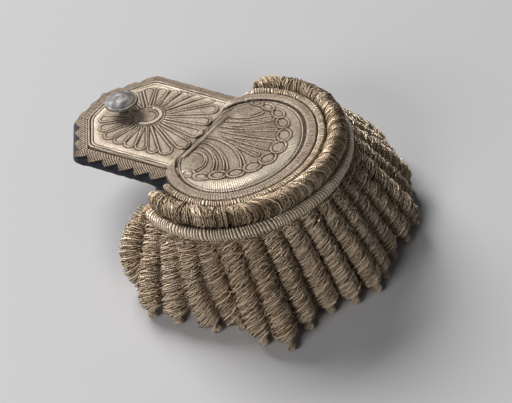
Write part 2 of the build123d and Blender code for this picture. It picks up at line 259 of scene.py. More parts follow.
def add(tree, kind, inputs=(), **settings):
    """New node with settings; inputs gives (socket, value or socket to link from) pairs."""
    made = tree.nodes.new("ShaderNode" + kind)
    for key, value in settings.items():
        setattr(made, key, value)
    for socket, value in inputs:
        if isinstance(value, bpy.types.NodeSocket):
            tree.links.new(value, made.inputs[socket])
        else:
            made.inputs[socket].default_value = value
    return made


def mark(tree, name):
    """The number with that name that is kept on each point of the mesh."""
    return add(tree, "Attribute", attribute_name=name).outputs["Fac"]


def reckon(tree, operation, *values):
    """Sum, product, sine or another reckoning of one, two or three numbers."""
    return add(tree, "Math", list(enumerate(values)), operation=operation).outputs[0]


def plus(tree, *values):
    """Sum of two or more numbers."""
    total = values[0]
    for value in values[1:]:
        total = reckon(tree, "ADD", total, value)
    return total


def times(tree, first, second):
    """Product of two numbers."""
    return reckon(tree, "MULTIPLY", first, second)


def spread(tree, value, low, high, new_low, new_high):
    """Number moved from one range to another, and held inside it."""
    source = [("Value", value), ("From Min", low), ("From Max", high)]
    target = [("To Min", new_low), ("To Max", new_high)]
    return add(tree, "MapRange", source + target).outputs["Result"]


print("node helpers ready")

# %% [markdown]
# Old metal, wire and cloth are never one colour. Three kinds of helper make that. A ramp gives a
# colour for each tone from dark to light. Blotches are soft noise in spots of a stated size. A
# bump lets small differences in height catch the light without any mesh. Painted images could
# do the same, but noise has no seam and stays sharp however near the camera comes.

# %% Colours, blotches and bumps
def ramp(tree, factor, *stops):
    """Colour from a factor; each stop is a place and a colour."""
    made = add(tree, "ValToRGB", [("Fac", factor)])
    band = made.color_ramp
    while len(band.elements) < len(stops):
        band.elements.new(0.5)
    for element, (place, colour) in zip(band.elements, stops):
        element.position = place
        element.color = (*colour, 1)
    return made.outputs["Color"]


def mixed(tree, factor, first, second, way="MIX"):
    """Mix of two colours."""
    inputs = [("Fac", factor), ("Color1", first), ("Color2", second)]
    return add(tree, "MixRGB", inputs, blend_type=way).outputs["Color"]


def blotches(tree, size, detail=3.0):
    """Soft noise from 0 to 1 whose spots are about size millimetres across."""
    place = add(tree, "TexCoord").outputs["Object"]
    inputs = [("Vector", place), ("Scale", 1000 / size), ("Detail", detail)]
    return add(tree, "TexNoise", inputs).outputs["Fac"]


def uneven(tree, size, amount):
    """Blotches that lie about nought, to be added to a tone."""
    return times(tree, reckon(tree, "SUBTRACT", blotches(tree, size), 0.5), amount)


def bumped(tree, shader, height, depth, strength=1.0):
    """Bump from a height between 0 and 1 that is depth millimetres deep."""
    inputs = [("Height", height), ("Distance", depth / 1000), ("Strength", strength)]
    tree.links.new(add(tree, "Bump", inputs).outputs["Normal"], shader.inputs["Normal"])


print("finish helpers ready")

# %% [markdown]
# Bullion is a hair-thin silvered wire coiled into a soft tube. Its colour is warm grey where it
# is worn bright and brown where it has tarnished in the hollows. A single grey would look like
# plastic, so each strand has a shade of its own and goes light and dark along its length in
# dashes, with a painted highlight, a bright glint, in some of them. Its sides are painted darker
# than its back, as the shade between the strands, and a bump crosses it at the pitch of the coiled
# wire, whose turns are also painted light and dark. Fringe, torsade and cords were wound from
# different wire, so each has its own pitch and tint. The fringe and the outer cord are also
# painted lighter, to make up for the light that reaches them less than the torsade.

# %% Bullion
tarnish_dark = (0.055, 0.036, 0.021)
tarnish_brown = (0.28, 0.197, 0.118)
worn_silver = (0.66, 0.52, 0.365)
bright_silver = (0.97, 0.88, 0.745)
dashes_per_mm = 0.6
shift_of_a_shade = 90.0
glint_range = (0.56, 0.67)


def bullion_material(name, wire_pitch, lift=0.0, contrast=0.75, coil=0.25, warmth=0.0, glints=0.5):
    """Tarnished wire; lift lightens it, contrast is for its dashes, glints for their painted highlights,
    coil for its turns.
    """
    material, tree, shader = new_material(name, metallic=0.7, roughness=0.4)
    strand = mark(tree, "shade")
    along = mark(tree, "along")
    place = plus(tree, times(tree, along, dashes_per_mm), times(tree, strand, shift_of_a_shade))
    inputs = [("W", place), ("Scale", 1.0), ("Detail", 2.0)]
    streaks = add(tree, "TexNoise", inputs, noise_dimensions="1D").outputs["Fac"]
    # Painted glints: the brightest stretches of the dashes are painted as highlights.
    painted_glints = spread(tree, streaks, *glint_range, 0.0, glints)
    dashes = times(tree, reckon(tree, "SUBTRACT", streaks, 0.5), contrast)
    # The turns of the coiled wire are a bump, and they are also painted light and dark in the tone.
    wave = reckon(tree, "SINE", times(tree, along, 2 * math.pi / wire_pitch))
    tone = plus(tree, strand, lift, dashes, painted_glints, uneven(tree, 14, 0.5), uneven(tree, 0.7, 0.5),
                times(tree, wave, 0.3 * coil))
    # The height mark paints shade: the sides of each strand are darker than its back.
    tone = times(tree, reckon(tree, "MAXIMUM", tone, 0.0), mark(tree, "height"))
    tint = np.array((1.0, 1.0 - 0.08 * warmth, 1.0 - 0.16 * warmth))
    tones = [tuple(tint * colour) for colour in (tarnish_dark, tarnish_brown, worn_silver, bright_silver)]
    colour = ramp(tree, tone, *zip((0.0, 0.3, 0.62, 1.0), tones))
    tree.links.new(colour, shader.inputs["Base Color"])
    tree.links.new(spread(tree, tone, 0.0, 1.0, 0.55, 0.28), shader.inputs["Roughness"])
    bumped(tree, shader, plus(tree, times(tree, wave, coil), blotches(tree, 0.5)), 0.16)
    return material


# The fringe and the outer cord have a larger lift. It is painted light that makes up for the light reaching
# them less than the torsade, and the fringe also gets stronger painted glints.
bullion = bullion_material("bullion_wire", 0.85, lift=0.08, contrast=0.32, coil=0.4, glints=0.15)
lightened_fringe_bullion = bullion_material("fringe_wire", 0.95, lift=0.42, contrast=1.4, coil=0.5,
                                     warmth=0.9, glints=1.0)
lightened_cord_bullion = bullion_material("wound_wire", 0.3, lift=0.6, contrast=0.8, warmth=0.5)
dull_bullion = bullion_material("dull_wound_wire", 0.3, lift=0.1, contrast=0.4, glints=0.2)
print("bullion finishes:", bullion.name, lightened_fringe_bullion.name, lightened_cord_bullion.name, dull_bullion.name)

# %% [markdown]
# Most pieces are rows of rings or sheets of quads that are worked out as arrays of points. A
# modifier stack or a bevelled curve could make some of them, but the wound pieces need a radius
# that changes from wire to wire, so their points are reckoned here and handed to the mesh at
# once. The same function makes each piece ride on the measured model.

# %% Mesh helpers
def unit(vectors):
    """Vectors of length one."""
    return vectors / np.maximum(np.linalg.norm(vectors, axis=-1, keepdims=True), 1e-12)


def ring_quads(rows, around):
    """Quads of a tube with that many rings, each a closed round of points."""
    row = np.arange(rows - 1)[:, None] * around
    here = np.arange(around)[None, :]
    after = (here + 1) % around
    corners = (row + here, row + after, row + after + around, row + here + around)
    return np.stack(corners, -1).reshape(-1, 4)


def sheet_quads(rows, columns):
    """Quads of an open sheet of rows and columns of points."""
    row = np.arange(rows - 1)[:, None] * columns
    here = np.arange(columns - 1)[None, :]
    corners = (row + here, row + here + 1, row + here + 1 + columns, row + here + columns)
    return np.stack(corners, -1).reshape(-1, 4)


def end_caps(rows, around):
    """The two faces that close a tube."""
    return np.stack([np.arange(around)[::-1], (rows - 1) * around + np.arange(around)])


def joined(*parts):
    """One set of points, faces and marks from several; a part is (points, face groups, marks)."""
    points, groups, marks, first = [], {}, {}, 0
    for part_points, part_groups, part_marks in parts:
        points.append(part_points)
        for group in part_groups:
            groups.setdefault(group.shape[1], []).append(group + first)
        for key, values in part_marks.items():
            marks.setdefault(key, []).append(np.broadcast_to(values, len(part_points)))
        first += len(part_points)
    merged = {key: np.concatenate(values) for key, values in marks.items()}
    return np.concatenate(points), [np.concatenate(group) for group in groups.values()], merged


def make_piece(name, part, material, stands_for=()):
    """Object from a part in standing millimetres, riding on the measured model."""
    points, groups, marks = part
    corners = np.concatenate([group.ravel() for group in groups]).astype(np.int32)
    sizes = np.concatenate([np.full(len(group), group.shape[1]) for group in groups])
    mesh = bpy.data.meshes.new(name)
    mesh.vertices.add(len(points))
    mesh.vertices.foreach_set("co", (points / 1000).astype(np.float32).ravel())
    mesh.loops.add(len(corners))
    mesh.loops.foreach_set("vertex_index", corners)
    mesh.polygons.add(len(sizes))
    mesh.polygons.foreach_set("loop_start", (np.cumsum(sizes) - sizes).astype(np.int32))
    mesh.update(calc_edges=True)
    for key, values in marks.items():
        mesh.attributes.new(key, "FLOAT", "POINT").data.foreach_set("value", values.astype(np.float32))
    mesh.validate()
    mesh.shade_smooth()
    mesh.materials.append(material)
    piece = bpy.data.objects.new(name, mesh)
    bpy.context.scene.collection.objects.link(piece)
    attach(piece, "root")
    if stands_for:
        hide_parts(*stands_for)
    print(name, "has", int((sizes - 2).sum()), "triangles")
    return piece


print("mesh helpers ready")

# %% [markdown]
# Torsade and tassels are wound from round strands. A strand could be a curve with a bevel, but
# its point count would be hard to hold down over thousands of turns. Here all strands of a piece
# are made together: a row of small rings along each centre line, with three or four sides and
# smooth shading, which is as fine as a wire this thin can show. The number kept on the outermost
# side of each ring is the highest, so that the finish can paint the other sides dark as the
# shade that falls between the strands.

# %% Round strands
darkest_painted_side = 0.06
painted_side_fade = 1.7


def strands(centres, off, radii, shade, sides=4):
    """Part of round strands: centres are (strands, steps, 3) and off points away from the core."""
    along = unit(np.gradient(centres, axis=1))
    across = unit(np.cross(along, off))
    up = np.cross(across, along)
    turn = 2 * np.pi * np.arange(sides) / sides
    ring = up[:, :, None] * np.cos(turn)[:, None] + across[:, :, None] * np.sin(turn)[:, None]
    points = centres[:, :, None] + radii[:, :, None, None] * ring
    count, steps = centres.shape[:2]
    first = (np.arange(count) * steps * sides)[:, None, None]
    quads = (first + ring_quads(steps, sides)[None]).reshape(-1, 4)
    start = first[:, 0] + np.arange(sides)[::-1]
    end = first[:, 0] + (steps - 1) * sides + np.arange(sides)
    run = np.cumsum(np.linalg.norm(np.diff(centres, axis=1, prepend=centres[:, :1]), axis=-1), axis=1)
    # Painted shade: the height mark falls from the outer back of each strand towards its sides and
    # underside.
    height = darkest_painted_side + (1 - darkest_painted_side) * (0.5 + 0.5 * np.cos(turn)) ** painted_side_fade
    marks = {
        "along": np.repeat(run.ravel(), sides),
        "shade": np.broadcast_to(shade[..., None], (count, steps, sides)).ravel(),
        "height": np.tile(height, count * steps),
    }
    return points.reshape(-1, 3), [quads, np.concatenate([start, end])], marks


def bunches(total, chance, least, most):
    """Number of its bunch for each of total strands, in bunches of least to most strands."""
    ends = np.cumsum(chance.integers(least, most + 1, total))
    return np.searchsorted(ends, np.arange(total), side="right")


print("ten strands in bunches:", bunches(10, np.random.default_rng(1), 3, 6))

# %% [markdown]
# All the rounds of the crescent are one family of ovals: two side arcs and a front arc that
# meet without a corner, and each cord lies a little further out. A free curve could follow
# them, but arcs with shared centres keep the cords evenly apart, as they are on the real
# epaulette, where each was sewn down against the last. The function gives points at any share
# of the way round, and runs on straight past the ends.

# %% The horseshoe that the cords follow
def horseshoe(offset, end_reach, share):
    """Points, outward directions and tangents on the plate's plane, and the whole length."""
    radius = field_radius + offset
    front_radius = radius + math.hypot(side_centre, front_centre)
    joint = math.atan2(side_centre, front_centre)
    last = math.acos(-end_reach / radius)
    side = radius * (last - joint)
    length = 2 * side + 2 * front_radius * joint
    way = np.asarray(share, float) * length
    held = np.clip(way, 0, length)
    near, far = held < side, held > length - side
    turn = np.where(near, held / radius - last,
                    np.where(far, last - (length - held) / radius, (held - length / 2) / front_radius))
    reach = np.where(near | far, radius, front_radius)
    out = np.stack([np.cos(turn), np.sin(turn), 0 * turn], -1)
    tangent = np.stack([-np.sin(turn), np.cos(turn), 0 * turn], -1)
    centre = np.stack([np.where(near | far, 0, -front_centre),
                       np.where(near, -side_centre, np.where(far, side_centre, 0)), 0 * turn], -1)
    points = centre + out * reach[..., None] + tangent * (way - held)[..., None]
    return points, out, tangent, length


torsade_end_reach = 16.5
print("torsade is", round(horseshoe(torsade_offset, torsade_end_reach, [0.5])[3], 1), "mm long")

# %% [markdown]
# The two cords are soft cores wound closely with wire, so their surface is a row of small round
# ridges that lean a little, because the wire climbs as it goes round. Each ridge could be a
# ring of its own. One tube whose radius rises and falls with every turn of the wire is lighter
# and has no gaps, and a slight unevenness in pitch and height keeps it from looking machined.

# %% Wound cords
def wound_cord(radius, offset, height, end_reach, pitch, starts, steps, around, seed):
    """Part of a cord with ridges of wire; starts is how many wires climb side by side."""
    chance = np.random.default_rng(seed)
    length = horseshoe(offset, end_reach, [0])[3]
    rows = int((length + 2 * radius) / pitch * steps)
    way = np.linspace(-radius * 0.98, length + radius * 0.98, rows)
    path, out, _, _ = horseshoe(offset, end_reach, way / length)
    over = np.maximum(np.maximum(-way, way - length), 0) / radius
    closing = np.sqrt(np.maximum(1 - over ** 2, 0.0))
    turn = 2 * np.pi * np.arange(around) / around
    wander = sum(chance.uniform(0.1, 0.35) * np.sin(2 * np.pi * way / span + chance.uniform(0, 6))
                 for span in (31.0, 13.0, 7.0))
    phase = (way + wander * pitch)[:, None] / pitch + starts * turn[None] / (2 * np.pi)
    inside = 2 * (phase - np.floor(phase)) - 1
    ridge = np.sqrt(1 - (0.985 * inside) ** 2)
    wire = np.floor(phase).astype(int) - int(np.floor(phase).min())
    lift = chance.uniform(-1, 1, wire.max() + 1)[wire]
    depth = 0.58 * pitch
    reach = (radius - depth + depth * ridge + 0.07 * lift * ridge) * closing[:, None]
    points = (path[:, None] + out[:, None] * (reach * np.cos(turn))[..., None]
              + np.array((0, 0, 1.0)) * (reach * np.sin(turn))[..., None])
    points[..., 2] += height
    # The height mark paints shade into the gaps between the turns of wire.
    marks = {
        "along": (turn[None] * radius + 0 * way[:, None]).ravel(),
        "shade": (0.6 + 0.16 * lift).ravel(),
        "height": (0.02 + 0.98 * ridge ** 3).ravel(),
    }
    faces = [ring_quads(rows, around)[:, ::-1], end_caps(rows, around)[:, ::-1]]
    return standing(points.reshape(-1, 3)), faces, marks


make_piece(
    "outer_winding",
    wound_cord(radius=2.6, offset=17.3, height=-6.6, end_reach=torsade_end_reach,
               pitch=1.3, starts=2, steps=9, around=26, seed=5),
    lightened_cord_bullion, ["outer_cord"])
make_piece(
    "inner_winding",
    wound_cord(radius=1.75, offset=6.5, height=0.2, end_reach=14.5,
               pitch=1.06, starts=1, steps=9, around=18, seed=8),
    dull_bullion, ["inner_cord"])

# %% [markdown]
# The torsade is a thick roll of padding wound with strands of bullion. They don't lie in even
# turns: they go on in small bunches, each bunch at its own slant and a little over or under the
# next, so the roll catches the light in diagonal groups. A bump on a smooth roll would miss the
# dark gaps and the comb of strands on its skyline, so each turn is a strand of its own, and the
# slant and rise of its bunch are drawn from a seeded choice. The roll gets thinner at its ends.

# %% Turns of bullion round the torsade
torsade_taper = 5.0
torsade_overhang = 3.2


def torsade_closing(way, length):
    """Share of its full radius that the torsade has at a way along it."""
    inside = np.maximum(torsade_taper - way, way - length + torsade_taper)
    over = np.maximum(inside, 0) / (torsade_taper + torsade_overhang)
    return np.sqrt(1 - np.minimum(over, 0.985) ** 2)


def torsade_turns(turns, reach, strand_radius, unruly, tone, seed, steps=32):
    """Part of one layer of closed turns of bullion; unruly is how much its bunches differ."""
    chance = np.random.default_rng(seed)
    length = horseshoe(torsade_offset, torsade_end_reach, [0])[3]
    bunch = bunches(turns, chance, 3, 6)
    slant = np.clip(chance.normal(0.4, 0.36 * unruly, bunch.max() + 1), -0.4, 1.1)[bunch]
    slant = slant + chance.normal(0, 0.1, turns) * unruly
    rise = chance.uniform(-0.2, 0.26, bunch.max() + 1)[bunch] + chance.normal(0, 0.12, turns)
    rise = rise * unruly
    middle = np.linspace(-3.1, length + 3.1, turns) + chance.normal(0, 0.16, turns) * unruly
    turn = np.linspace(-0.62 * np.pi, 1.38 * np.pi, steps)
    way = middle[:, None] + 0 * turn[None]
    way = way + (slant[:, None] * torsade_radius) * np.cos(turn)[None] * torsade_closing(way, length)
    closing = torsade_closing(way, length)
    phases = chance.uniform(0, 6, (3, turns, 1))
    swells = 0.12 * np.sin(2 * turn[None] + phases[0])
    way = way + (0.16 * np.sin(9 * turn[None] + phases[1]) + chance.normal(0, 0.07, way.shape)) * closing
    ripples = 0.09 * np.sin(11 * turn[None] + phases[2]) + chance.normal(0, 0.05, way.shape)
    toward_cord = 0.3 * np.maximum(np.cos(turn + 0.96), 0) ** 3
    reach = (reach + toward_cord + rise[:, None] + (swells + ripples) * unruly) * closing
    held = np.clip(way, -torsade_overhang, length + torsade_overhang)
    path, out, _, _ = horseshoe(torsade_offset, torsade_end_reach, held / length)
    up = np.array((0, 0, 1.0))
    off = out * np.cos(turn)[None, :, None] + up * np.sin(turn)[None, :, None]
    centres = path + off * reach[..., None] + up * (torsade_height - 1.3 * (1 - closing))[..., None]
    # Turns that rise higher are painted lighter and lower ones darker, as painted shade, on top of a random
    # tone for each.
    shade = (tone + 0.5 * rise + chance.normal(0, 0.13, turns))[:, None] + chance.normal(0, 0.05, way.shape)
    return strands(standing(centres), leaned(off), strand_radius * (0.55 + 0.45 * closing), shade)


sample = torsade_turns(4, 4.0, 0.4, unruly=1.0, tone=0.3, seed=1)
print("four turns have", len(sample[0]), "points")

# %% [markdown]
# Two layers of turns lie round a dark core: a close, nearly even one, so that no view goes
# through to the core, and over it the unruly bunches. A single layer would have to be either too
# neat or too open. The padding of the real roll is soft, but it is wound so firmly that it keeps
# its round section.

# %% Torsade
torsade_core_radius = 3.3


def torsade_core(rows=150, around=20):
    """Part of the dark padded core under the strands."""
    length = horseshoe(torsade_offset, torsade_end_reach, [0])[3]
    way = np.linspace(-2.8, length + 2.8, rows)
    path, out, _, _ = horseshoe(torsade_offset, torsade_end_reach, way / length)
    closing = torsade_closing(way, length)
    turn = 2 * np.pi * np.arange(around) / around
    up = np.array((0, 0, 1.0))
    off = out[:, None] * np.cos(turn)[None, :, None] + up * np.sin(turn)[None, :, None]
    points = path[:, None] + off * (torsade_core_radius * closing)[:, None, None]
    points = points + up * (torsade_height - 1.3 * (1 - closing))[:, None, None]
    # The core's low shade is painted shade: its dark tone stands for the depth between the turns.
    marks = {"along": 0.0, "shade": 0.1, "height": 0.5}
    faces = [ring_quads(rows, around)[:, ::-1], end_caps(rows, around)[:, ::-1]]
    return standing(points.reshape(-1, 3)), faces, marks


under_turns = torsade_turns(210, reach=3.72, strand_radius=0.4, unruly=0.4, tone=0.42, seed=4, steps=26)
over_turns = torsade_turns(158, reach=4.02, strand_radius=0.38, unruly=1.0, tone=0.3, seed=11, steps=38)
torsade = make_piece("torsade_roll", joined(torsade_core(), under_turns, over_turns),
                     bullion, ["torsade"])

# %% [markdown]
# Each tassel of the fringe is a bundle of bullion strands twisted together round a core, so the
# strands climb round it like the threads of a screw, in small bunches that stand out, and the
# tassel ends in a tight waist and a little round tip. The measured model has each tassel as a
# plain lock along its own line from the heading to the floor. The same lines are drawn here
# from the same habits, one row for each tassel, because on the real fringe every tassel leans,
# bellies and turns in its own way, and wound strands then follow them.

# %% Lines of the tassels
tassel_count = 23
tassel_radius = 5.1
tassel_tip_reach = 74.0
tassel_end_angle = 100.0
tassel_tip_height = 1.6
heading_offset = 14.6
heading_end_reach = 24.0
heading_low = -11.8
stand_height = 44.0

habits = [
    # turn, out, belly, swing
    (-3.0, -3.00, 3.00, -0.20), (0.5, -0.40, 0.75, -0.12), (0.5, -0.75, 0.50, 0.00),
    (6.0, -0.80, 0.55, -0.80), (5.5, -1.20, 0.50, -0.55), (-3.0, 0.60, 0.55, 0.05),
    (-1.5, 1.60, 0.45, 0.00), (-0.5, 0.00, 0.50, 0.00), (-1.5, -0.75, 0.55, 0.10),
    (-2.0, -0.20, 0.45, 0.00), (-2.0, 0.35, 0.55, 0.00), (0.5, 0.10, 0.50, 0.00),
    (0.0, -0.20, 0.55, 0.00), (0.0, 0.50, 0.60, 0.00), (-1.0, 1.15, 0.80, 0.10),
    (0.5, 0.80, 1.00, 0.00), (1.0, 1.30, 1.20, 0.10), (0.0, 0.90, 1.40, 0.00),
    (1.5, 1.20, 1.60, 0.10), (1.0, 0.60, 1.80, 0.00), (0.5, 0.90, 2.00, 0.00),
    (1.5, 0.20, 2.20, 0.00), (2.0, -0.20, 2.20, 0.00),
]


def tassel_line(index, share):
    """Points and tangents of one tassel at shares of its length, standing, and its length."""
    turn, out, belly, swing = habits[index]
    last = tassel_count - 1
    inset = tassel_radius / 2 / horseshoe(heading_offset, heading_end_reach, [0])[3]
    share_of_heading = inset + (1 - 2 * inset) * index / last
    place, away, _, _ = horseshoe(heading_offset, heading_end_reach, [share_of_heading])
    top = standing(place[0] + np.array((0, 0, heading_low)))
    even = tassel_end_angle * (2 * index / last - 1)
    angle = math.radians(even - math.copysign(turn, even))
    reach = tassel_tip_reach + out * tassel_radius
    floor_centre = plate_centre - np.array((0, 0, stand_height))
    tip = np.array((reach * math.cos(angle), reach * math.sin(angle), tassel_tip_height)) + floor_centre
    bulge = away[0] * belly * tassel_radius
    sway = np.array((swing * tassel_radius, 0, 0))
    upper = top + (tip - top) * 0.33 + bulge + sway
    lower = top + (tip - top) * 0.70 + bulge * 0.6 + sway * 2
    t = np.linspace(0, 1, 240)[:, None]
    dense = ((1 - t) ** 3 * top + 3 * (1 - t) ** 2 * t * upper
             + 3 * (1 - t) * t ** 2 * lower + t ** 3 * tip)
    run = np.concatenate([[0], np.cumsum(np.linalg.norm(np.diff(dense, axis=0), axis=1))])
    points = np.stack([np.interp(share * run[-1], run, dense[:, k]) for k in range(3)], -1)
    tangents = np.stack([np.interp(share * run[-1], run, np.gradient(dense[:, k])) for k in range(3)], -1)
    return points, unit(tangents), run[-1]


lengths = [tassel_line(index, np.array([0.0]))[2] for index in range(tassel_count)]
print("tassels are", round(min(lengths), 1), "to", round(max(lengths), 1), "mm long")

# %% [markdown]
# A tassel's body swells from its top to its lower third, then closes to the waist and ends in a
# little round tip. A table of places and radii gives that profile. Everything on a tassel is
# placed by its share of the way along the line and by its turn round it, so each line needs two
# directions square to it that don't twist as the line bends. One of them is kept level.

# %% Body of a tassel
tassel_profile = [
    # place along the tassel, radius as a share
    (0.00, 0.98), (0.10, 0.97), (0.30, 0.92), (0.55, 0.94), (0.72, 0.98), (0.84, 0.97),
    (0.88, 0.88), (0.905, 0.62), (0.92, 0.36), (0.935, 0.35), (0.96, 0.43), (0.985, 0.41), (1.00, 0.25),
]


def body_radius(share):
    """Radius of a tassel's body at a share of its length."""
    places, shares = zip(*tassel_profile)
    return tassel_radius * np.interp(share, places, shares)


def tassel_frame(index, share):
    """Points, lengthwise, level and third directions of a tassel's line at shares of it."""
    line, tangent, _ = tassel_line(index, share)
    ends, _, _ = tassel_line(index, np.array((0.0, 1.0)))
    side = unit(np.cross(np.array((0, 0, 1.0)), ends[1] - ends[0]))
    level = unit(side - tangent * (tangent @ side)[:, None])
    return line, level, np.cross(tangent, level)


def round_the_line(level, third, turn):
    """Directions away from a tassel's line at a turn, for a row of strands."""
    return level * np.cos(turn)[..., None] + third * np.sin(turn)[..., None]


thickness, waist = 2 * float(body_radius(0.8)), 2 * float(body_radius(0.93))
print("a tassel is", round(thickness, 1), "mm thick and", round(waist, 1), "mm at its waist")

# %% [markdown]
# The strands climb round the body side by side at one pitch, so where it is thin they climb
# steeper, as twisted strands do. They lie in bunches of three to six that bulge, every third
# strand leads and stands proud, and each wanders a little in and out and sideways, which breaks
# the surface into the short bright dashes of real bullion. A helix without these habits looks
# like a screw. All of them are drawn once for each tassel, in a fixed order, from its own seed.
# Strands that stand out are painted lighter and sunken ones darker, as painted shade, the
# leading ones lighter still as painted highlights, and the tassels of the outer end and the far
# side are painted lighter, to make up for the light that reaches them less.

# %% Strands wound round a tassel
strand_radius = 0.3
steps_per_turn = 30


def ripple(chance, count, way, spans):
    """Smooth wander between about -1 and 1 along the way, of its own for each of count strands."""
    total = 0
    for span in spans:
        total = total + np.sin(2 * np.pi * way[None] / span + chance.uniform(0, 2 * np.pi, (count, 1)))
    return total / len(spans)


def strand_habits(count, chance):
    """Bunch, height over the body and lead of each of count strands."""
    number = np.arange(count)
    bunch = bunches(count, chance, 3, 6)
    first = np.searchsorted(bunch, bunch)
    inside = (number - first + 0.5) / np.maximum(np.bincount(bunch)[bunch], 1) * 2 - 1
    proud = 0.4 * np.sqrt(1 - inside ** 2) - 0.26 + chance.uniform(-0.16, 0.2, bunch.max() + 1)[bunch]
    leading = (number % 3 == 0) * chance.uniform(0.5, 1.0, count)
    return bunch, proud + chance.normal(0, 0.14, count) + 0.3 * leading, leading


def wound_strands(index, chance):
    """Part of the strands that are wound round a tassel, in bunches."""
    length = lengths[index]
    stated = np.interp(index, (0, 3, 5, 9, 13, 22), (8, 9, 10, 9, 8, 8))
    count = int(round(stated + chance.uniform(-1.2, 1.2)))
    turns = length / (chance.uniform(0.86, 0.95) * count)
    share = np.linspace(0.0, 1.0, int(turns * steps_per_turn))
    line, level, third = tassel_frame(index, share)
    bunch, proud, leading = strand_habits(count, chance)
    radius = body_radius(share)
    if index == 0:
        radius = radius * np.interp(share, (0.0, 0.12, 0.3), (0.6, 0.8, 1.1))
    fullness = radius / tassel_radius
    run = share * length * turns * 0.8
    wander = ripple(chance, count, run, (9.0, 4.6, 3.1))
    weave = ripple(chance, count, run, (15.0, 7.0, 4.1))
    together = ripple(chance, bunch.max() + 1, run, (19.0, 11.0))[bunch]
    turn = (2 * np.pi * np.arange(count) / count)[:, None] + 2 * np.pi * turns * share[None]
    aside = 3.2 * weave + 3.0 * together + chance.normal(0, 0.3, weave.shape)
    turn = turn + (aside + chance.normal(0, 0.6, count)[:, None]) / (1.7 * count) * fullness
    off = round_the_line(level[None], third[None], turn)
    rough = 0.36 * wander + 0.2 * together + chance.normal(0, 0.06, wander.shape)
    reach = radius[None] - strand_radius * 1.2 + (proud[:, None] + rough) * fullness
    centres = line[None] + off * reach[..., None]
    centres[..., 2] = np.maximum(centres[..., 2], strand_radius)
    # Leading strands are painted lighter, as painted highlights, besides a random tone for each strand.
    own_shade = 0.4 * leading + chance.normal(0, 0.18, count)
    # Strands that stand out or wander outwards are painted lighter and sunken ones darker, as painted shade.
    shade = 0.4 + 0.4 * (proud[:, None] + 0.6 * wander) + own_shade[:, None]
    # Painted light: tassels of the outer end and the far side are lighter, to make up for the light that
    # reaches them less.
    shade = shade + np.interp(index, (0, 8, 15, 22), (0.0, 0.06, 0.28, 0.5))
    shade = shade + chance.normal(0, 0.08, wander.shape)
    # The tips are lighter and the tops, next to the heading, darker.
    shade = shade + np.where(share > 0.92, 0.25, 0.0)[None] - np.where(share < 0.12, 0.1, 0.0)[None]
    thick = strand_radius * (0.8 + 0.2 * fullness)[None] * (1 + 0.25 * (proud > 0.2))[:, None] + 0 * turn
    return strands(centres, off, thick, shade)


sample = wound_strands(4, np.random.default_rng(304))
print("the strands of one tassel have", len(sample[0]), "points")

# %% [markdown]
# Here and there a short end of wire has sprung out of a tassel and blurs its outline. Hair
# particles could do that, but some four thousand short arches are light enough to be mesh too.
# Under the strands lies a dark core, painted shade that closes the view between them. Core,
# strands and stray ends of about eight tassels are joined to one piece each for the near side, the
# outer end and the far side, because a piece for every tassel would be a long list of small ones.

# %% Tassels
def stray_wires(index, chance, count=190, steps=5):
    """Part of the short ends of wire that have sprung out of a tassel, most of them near its top."""
    start = 0.02 + 0.84 * chance.uniform(0, 1, count) ** 1.7
    angle = chance.uniform(0, 2 * np.pi, count)
    reach_on = chance.uniform(2.0, 4.5, count) / tassel_radius
    slope = chance.normal(0.0, 0.03, count)
    arch = chance.uniform(0.2, 1.3, count)
    step = np.linspace(0, 1, steps)
    share = np.clip(start[:, None] + slope[:, None] * step, 0, 1)
    line, level, third = tassel_frame(index, share.ravel())
    shape = (count, steps, 3)
    turn = angle[:, None] + reach_on[:, None] * step
    off = round_the_line(level.reshape(shape), third.reshape(shape), turn)
    reach = body_radius(share) - 0.1 + arch[:, None] * np.sin(np.pi * step) ** 0.8
    centres = line.reshape(shape) + off * reach[..., None]
    centres[..., 2] = np.maximum(centres[..., 2], 0.3)
    shade = (0.7 + chance.normal(0, 0.25, count))[:, None] + 0 * turn
    return strands(centres, off, 0.17 + 0 * turn, shade, sides=3)


def tassel_core(index, rows=30, around=12):
    """Part of the dark core of a tassel."""
    share = np.linspace(0.0, 0.995, rows)
    line, level, third = tassel_frame(index, share)
    angle = 2 * np.pi * np.arange(around) / around
    off = round_the_line(level[:, None], third[:, None], angle[None])
    points = line[:, None] + off * np.maximum(body_radius(share) - 0.95, 0.45)[:, None, None]
    # The core's low shade is painted shade: its dark tone stands for the depth between the strands.
    marks = {"along": 0.0, "shade": 0.1, "height": 0.5}
    return points.reshape(-1, 3), [ring_quads(rows, around), end_caps(rows, around)], marks


def tassel(index):
    """Part of one tassel: a dark core, the strands that are wound round it, and stray ends."""
    chance = np.random.default_rng(300 + index)
    return joined(tassel_core(index), wound_strands(index, chance), stray_wires(index, chance))


fringe_groups = {"fringe_near": range(0, 8), "fringe_outer": range(8, 16), "fringe_far": range(16, 23)}
for name, group in fringe_groups.items():
    tassels = joined(*[tassel(index) for index in group])
    make_piece(name, tassels, lightened_fringe_bullion, ["fringe"])

# %% [markdown]
# The tassels hang from a flat band of bullion tape that is sewn under the crescent's pad. Only
# its outer edge shows, in the dark between the cord and the tops of the tassels. It could be a
# plain band. Here it is a band with upright ribs, like the ends of the strands that are
# gathered into it, and it closes the view between the tassels from every side.

